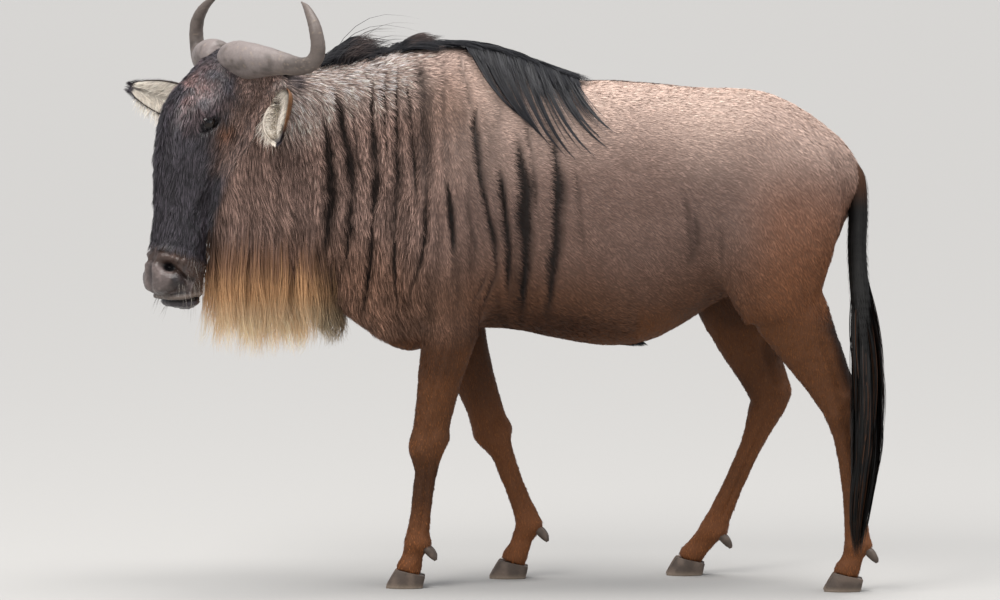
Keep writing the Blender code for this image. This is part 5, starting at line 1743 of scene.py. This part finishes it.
def make_face_hairs(tree, look, chance):
    """Lashes over the eyes, and long pale hairs about the mouth and chin."""
    paths, colours = [], []
    shares = np.linspace(0, 1, 5)[:, None]

    def add(place, way_of, lengths, droop, colour):
        root, facing = over_skin(tree, head_point(*place), 0)
        way = unit(way_of(facing))
        length = chance.uniform(*lengths)
        paths.append(root + (way * shares + HEAD_DOWN * droop * shares**2) * length)
        colours.append(colour())

    for side in (1, -1):
        for i in range(LASHES):
            angle = math.radians(200 + 140 * i / (LASHES - 1))
            along, across = 0.0200 * math.cos(angle), 0.0130 * math.sin(angle)
            down = EYE_PLACE[0] + 0.80 * along + 0.60 * across
            out = EYE_PLACE[1] + 0.60 * along - 0.80 * across
            add(
                (down, out, side * 0.11),
                lambda facing: facing * 0.8 + HEAD_OUT * 0.5 + HEAD_DOWN * 0.35,
                (0.010, 0.016), 0.25, lambda: MANE_COLOUR * 0.6,
            )
    for i in range(MOUTH_HAIRS):
        low = chance.random() < 0.45
        down = chance.uniform(0.585, 0.598) if low else chance.uniform(0.50, 0.575)
        out = chance.uniform(-0.045, 0.01) if low else chance.uniform(-0.035, 0.03)
        add(
            (down, out, 0.09 if i % 2 else -0.09),
            lambda facing: facing + HEAD_DOWN * 1.2 + 0.14 * chance.normal(size=3),
            (0.018, 0.042), 0.40,
            lambda: EAR_HAIR_COLOUR * 0.35 if chance.random() < 0.4 else FACE_COLOUR,
        )
    paths, colours = np.array(paths), np.array(colours)
    count = len(paths)
    flats = unit(np.cross(paths[:, -1] - paths[:, 0], chance.normal(size=(count, 3))))
    places = chance.random((count, 2)) * 0.9 + 0.05
    widths = np.full(count, 0.0005)
    hair_piece("face_hairs", look, "face", paths, widths, flats, colours, colours * 1.1, places)


def make_camera():
    data = bpy.data.cameras.new("camera")
    data.sensor_width = SENSOR_WIDTH
    data.lens = SENSOR_WIDTH * CAMERA_DISTANCE / PICTURE_WIDTH
    data.clip_end = 400.0
    camera = linked("camera", data)
    away = Vector((0, -math.cos(CAMERA_FALL), math.sin(CAMERA_FALL)))
    camera.location = CAMERA_TARGET + away * CAMERA_DISTANCE
    camera.rotation_euler = (math.radians(90) - CAMERA_FALL, 0, 0)
    bpy.context.scene.camera = camera


def make_light(name, kind, place, size, power_level, colour):
    """A soft light aimed at the animal."""
    data = bpy.data.lights.new(name, kind)
    if kind == "AREA":
        data.shape = "DISK"
        data.size = size
    else:
        data.angle = size
    data.energy = power_level
    data.color = colour
    light = linked(name, data)
    light.location = place
    light.rotation_euler = (LIGHT_TARGET - Vector(place)).to_track_quat("-Z", "Y").to_euler()


def make_stage():
    """The floor, the sky's light and the lamps."""
    ways = ((-1, -1), (1, -1), (1, 1), (-1, 1))
    corners = [(FLOOR_HALF * x, FLOOR_HALF * y, 0) for x, y in ways]
    floor = mesh_object("floor", corners, [(0, 1, 2, 3)])
    made, _, shader = new_material("floor", 0.9, 0.1)
    shader.inputs["Base Color"].default_value = FLOOR_COLOUR
    floor.data.materials.append(made)
    world = bpy.data.worlds.new("studio")
    world.use_nodes = True
    background = world.node_tree.nodes["Background"]
    background.inputs["Color"].default_value = SKY_COLOUR
    background.inputs["Strength"].default_value = SKY_STRENGTH
    bpy.context.scene.world = world
    bpy.context.scene.view_settings.view_transform = "Standard"
    for light in LIGHTS:
        make_light(*light)


def main():
    chance = np.random.default_rng(SEED)
    looks = {name: tinted_material(name, *row) for name, row in LOOKS.items()}
    coat_look, hair_look = looks["short_hair"], looks["long_hair"]
    skin = make_skin()
    polygons = skin.data.polygons
    tree = BVHTree.FromPolygons(
        [tuple(p) for p in points_of(skin.data)], [tuple(f.vertices) for f in polygons]
    )
    make_coat(skin, coat_look, looks["face_hair"], chance)
    make_mane(tree, hair_look, chance)
    make_crest(hair_look, chance)
    make_beard(tree, coat_look, chance)
    make_tail(hair_look, looks["hide"], chance)
    make_belly_tuft(hair_look, chance)
    for side, name in ((1, "left"), (-1, "right")):
        make_horn(name, side, looks["horn_shell"])
        make_ear(name, looks["hide"], coat_look, chance)
        make_eye(name, side, looks["eye_wet"])
    for leg in LEGS:
        for number, side in ((1, -1), (2, 1)):
            make_claw(leg, side, number, looks["hoof_wall"])
            make_dewclaw(leg, side, number, looks["hoof_wall"])
    make_face_hairs(tree, hair_look, chance)

    points = points_of(skin.data)
    bare = on_head(points) * step(head_places(points)[:, 0], 0.462, 0.476)
    middles = np.array([polygon.center for polygon in polygons])
    muzzle = (on_head(middles) > 0.5) & (head_places(middles)[:, 0] > 0.472)
    flesh = ["torso", "neck", "head"]
    for leg in LEGS:
        flesh += [f"leg_{leg}_upper", f"leg_{leg}_lower", f"foot_{leg}"]
    colours = marking(points) * (0.55 + 0.45 * bare)[:, None]
    dress(skin, colours, looks["hide"], "coat", *flesh)
    skin.data.materials.append(looks["nose_skin"])
    skin.data.polygons.foreach_set("material_index", muzzle.astype(np.int32))


main()
make_camera()
make_stage()
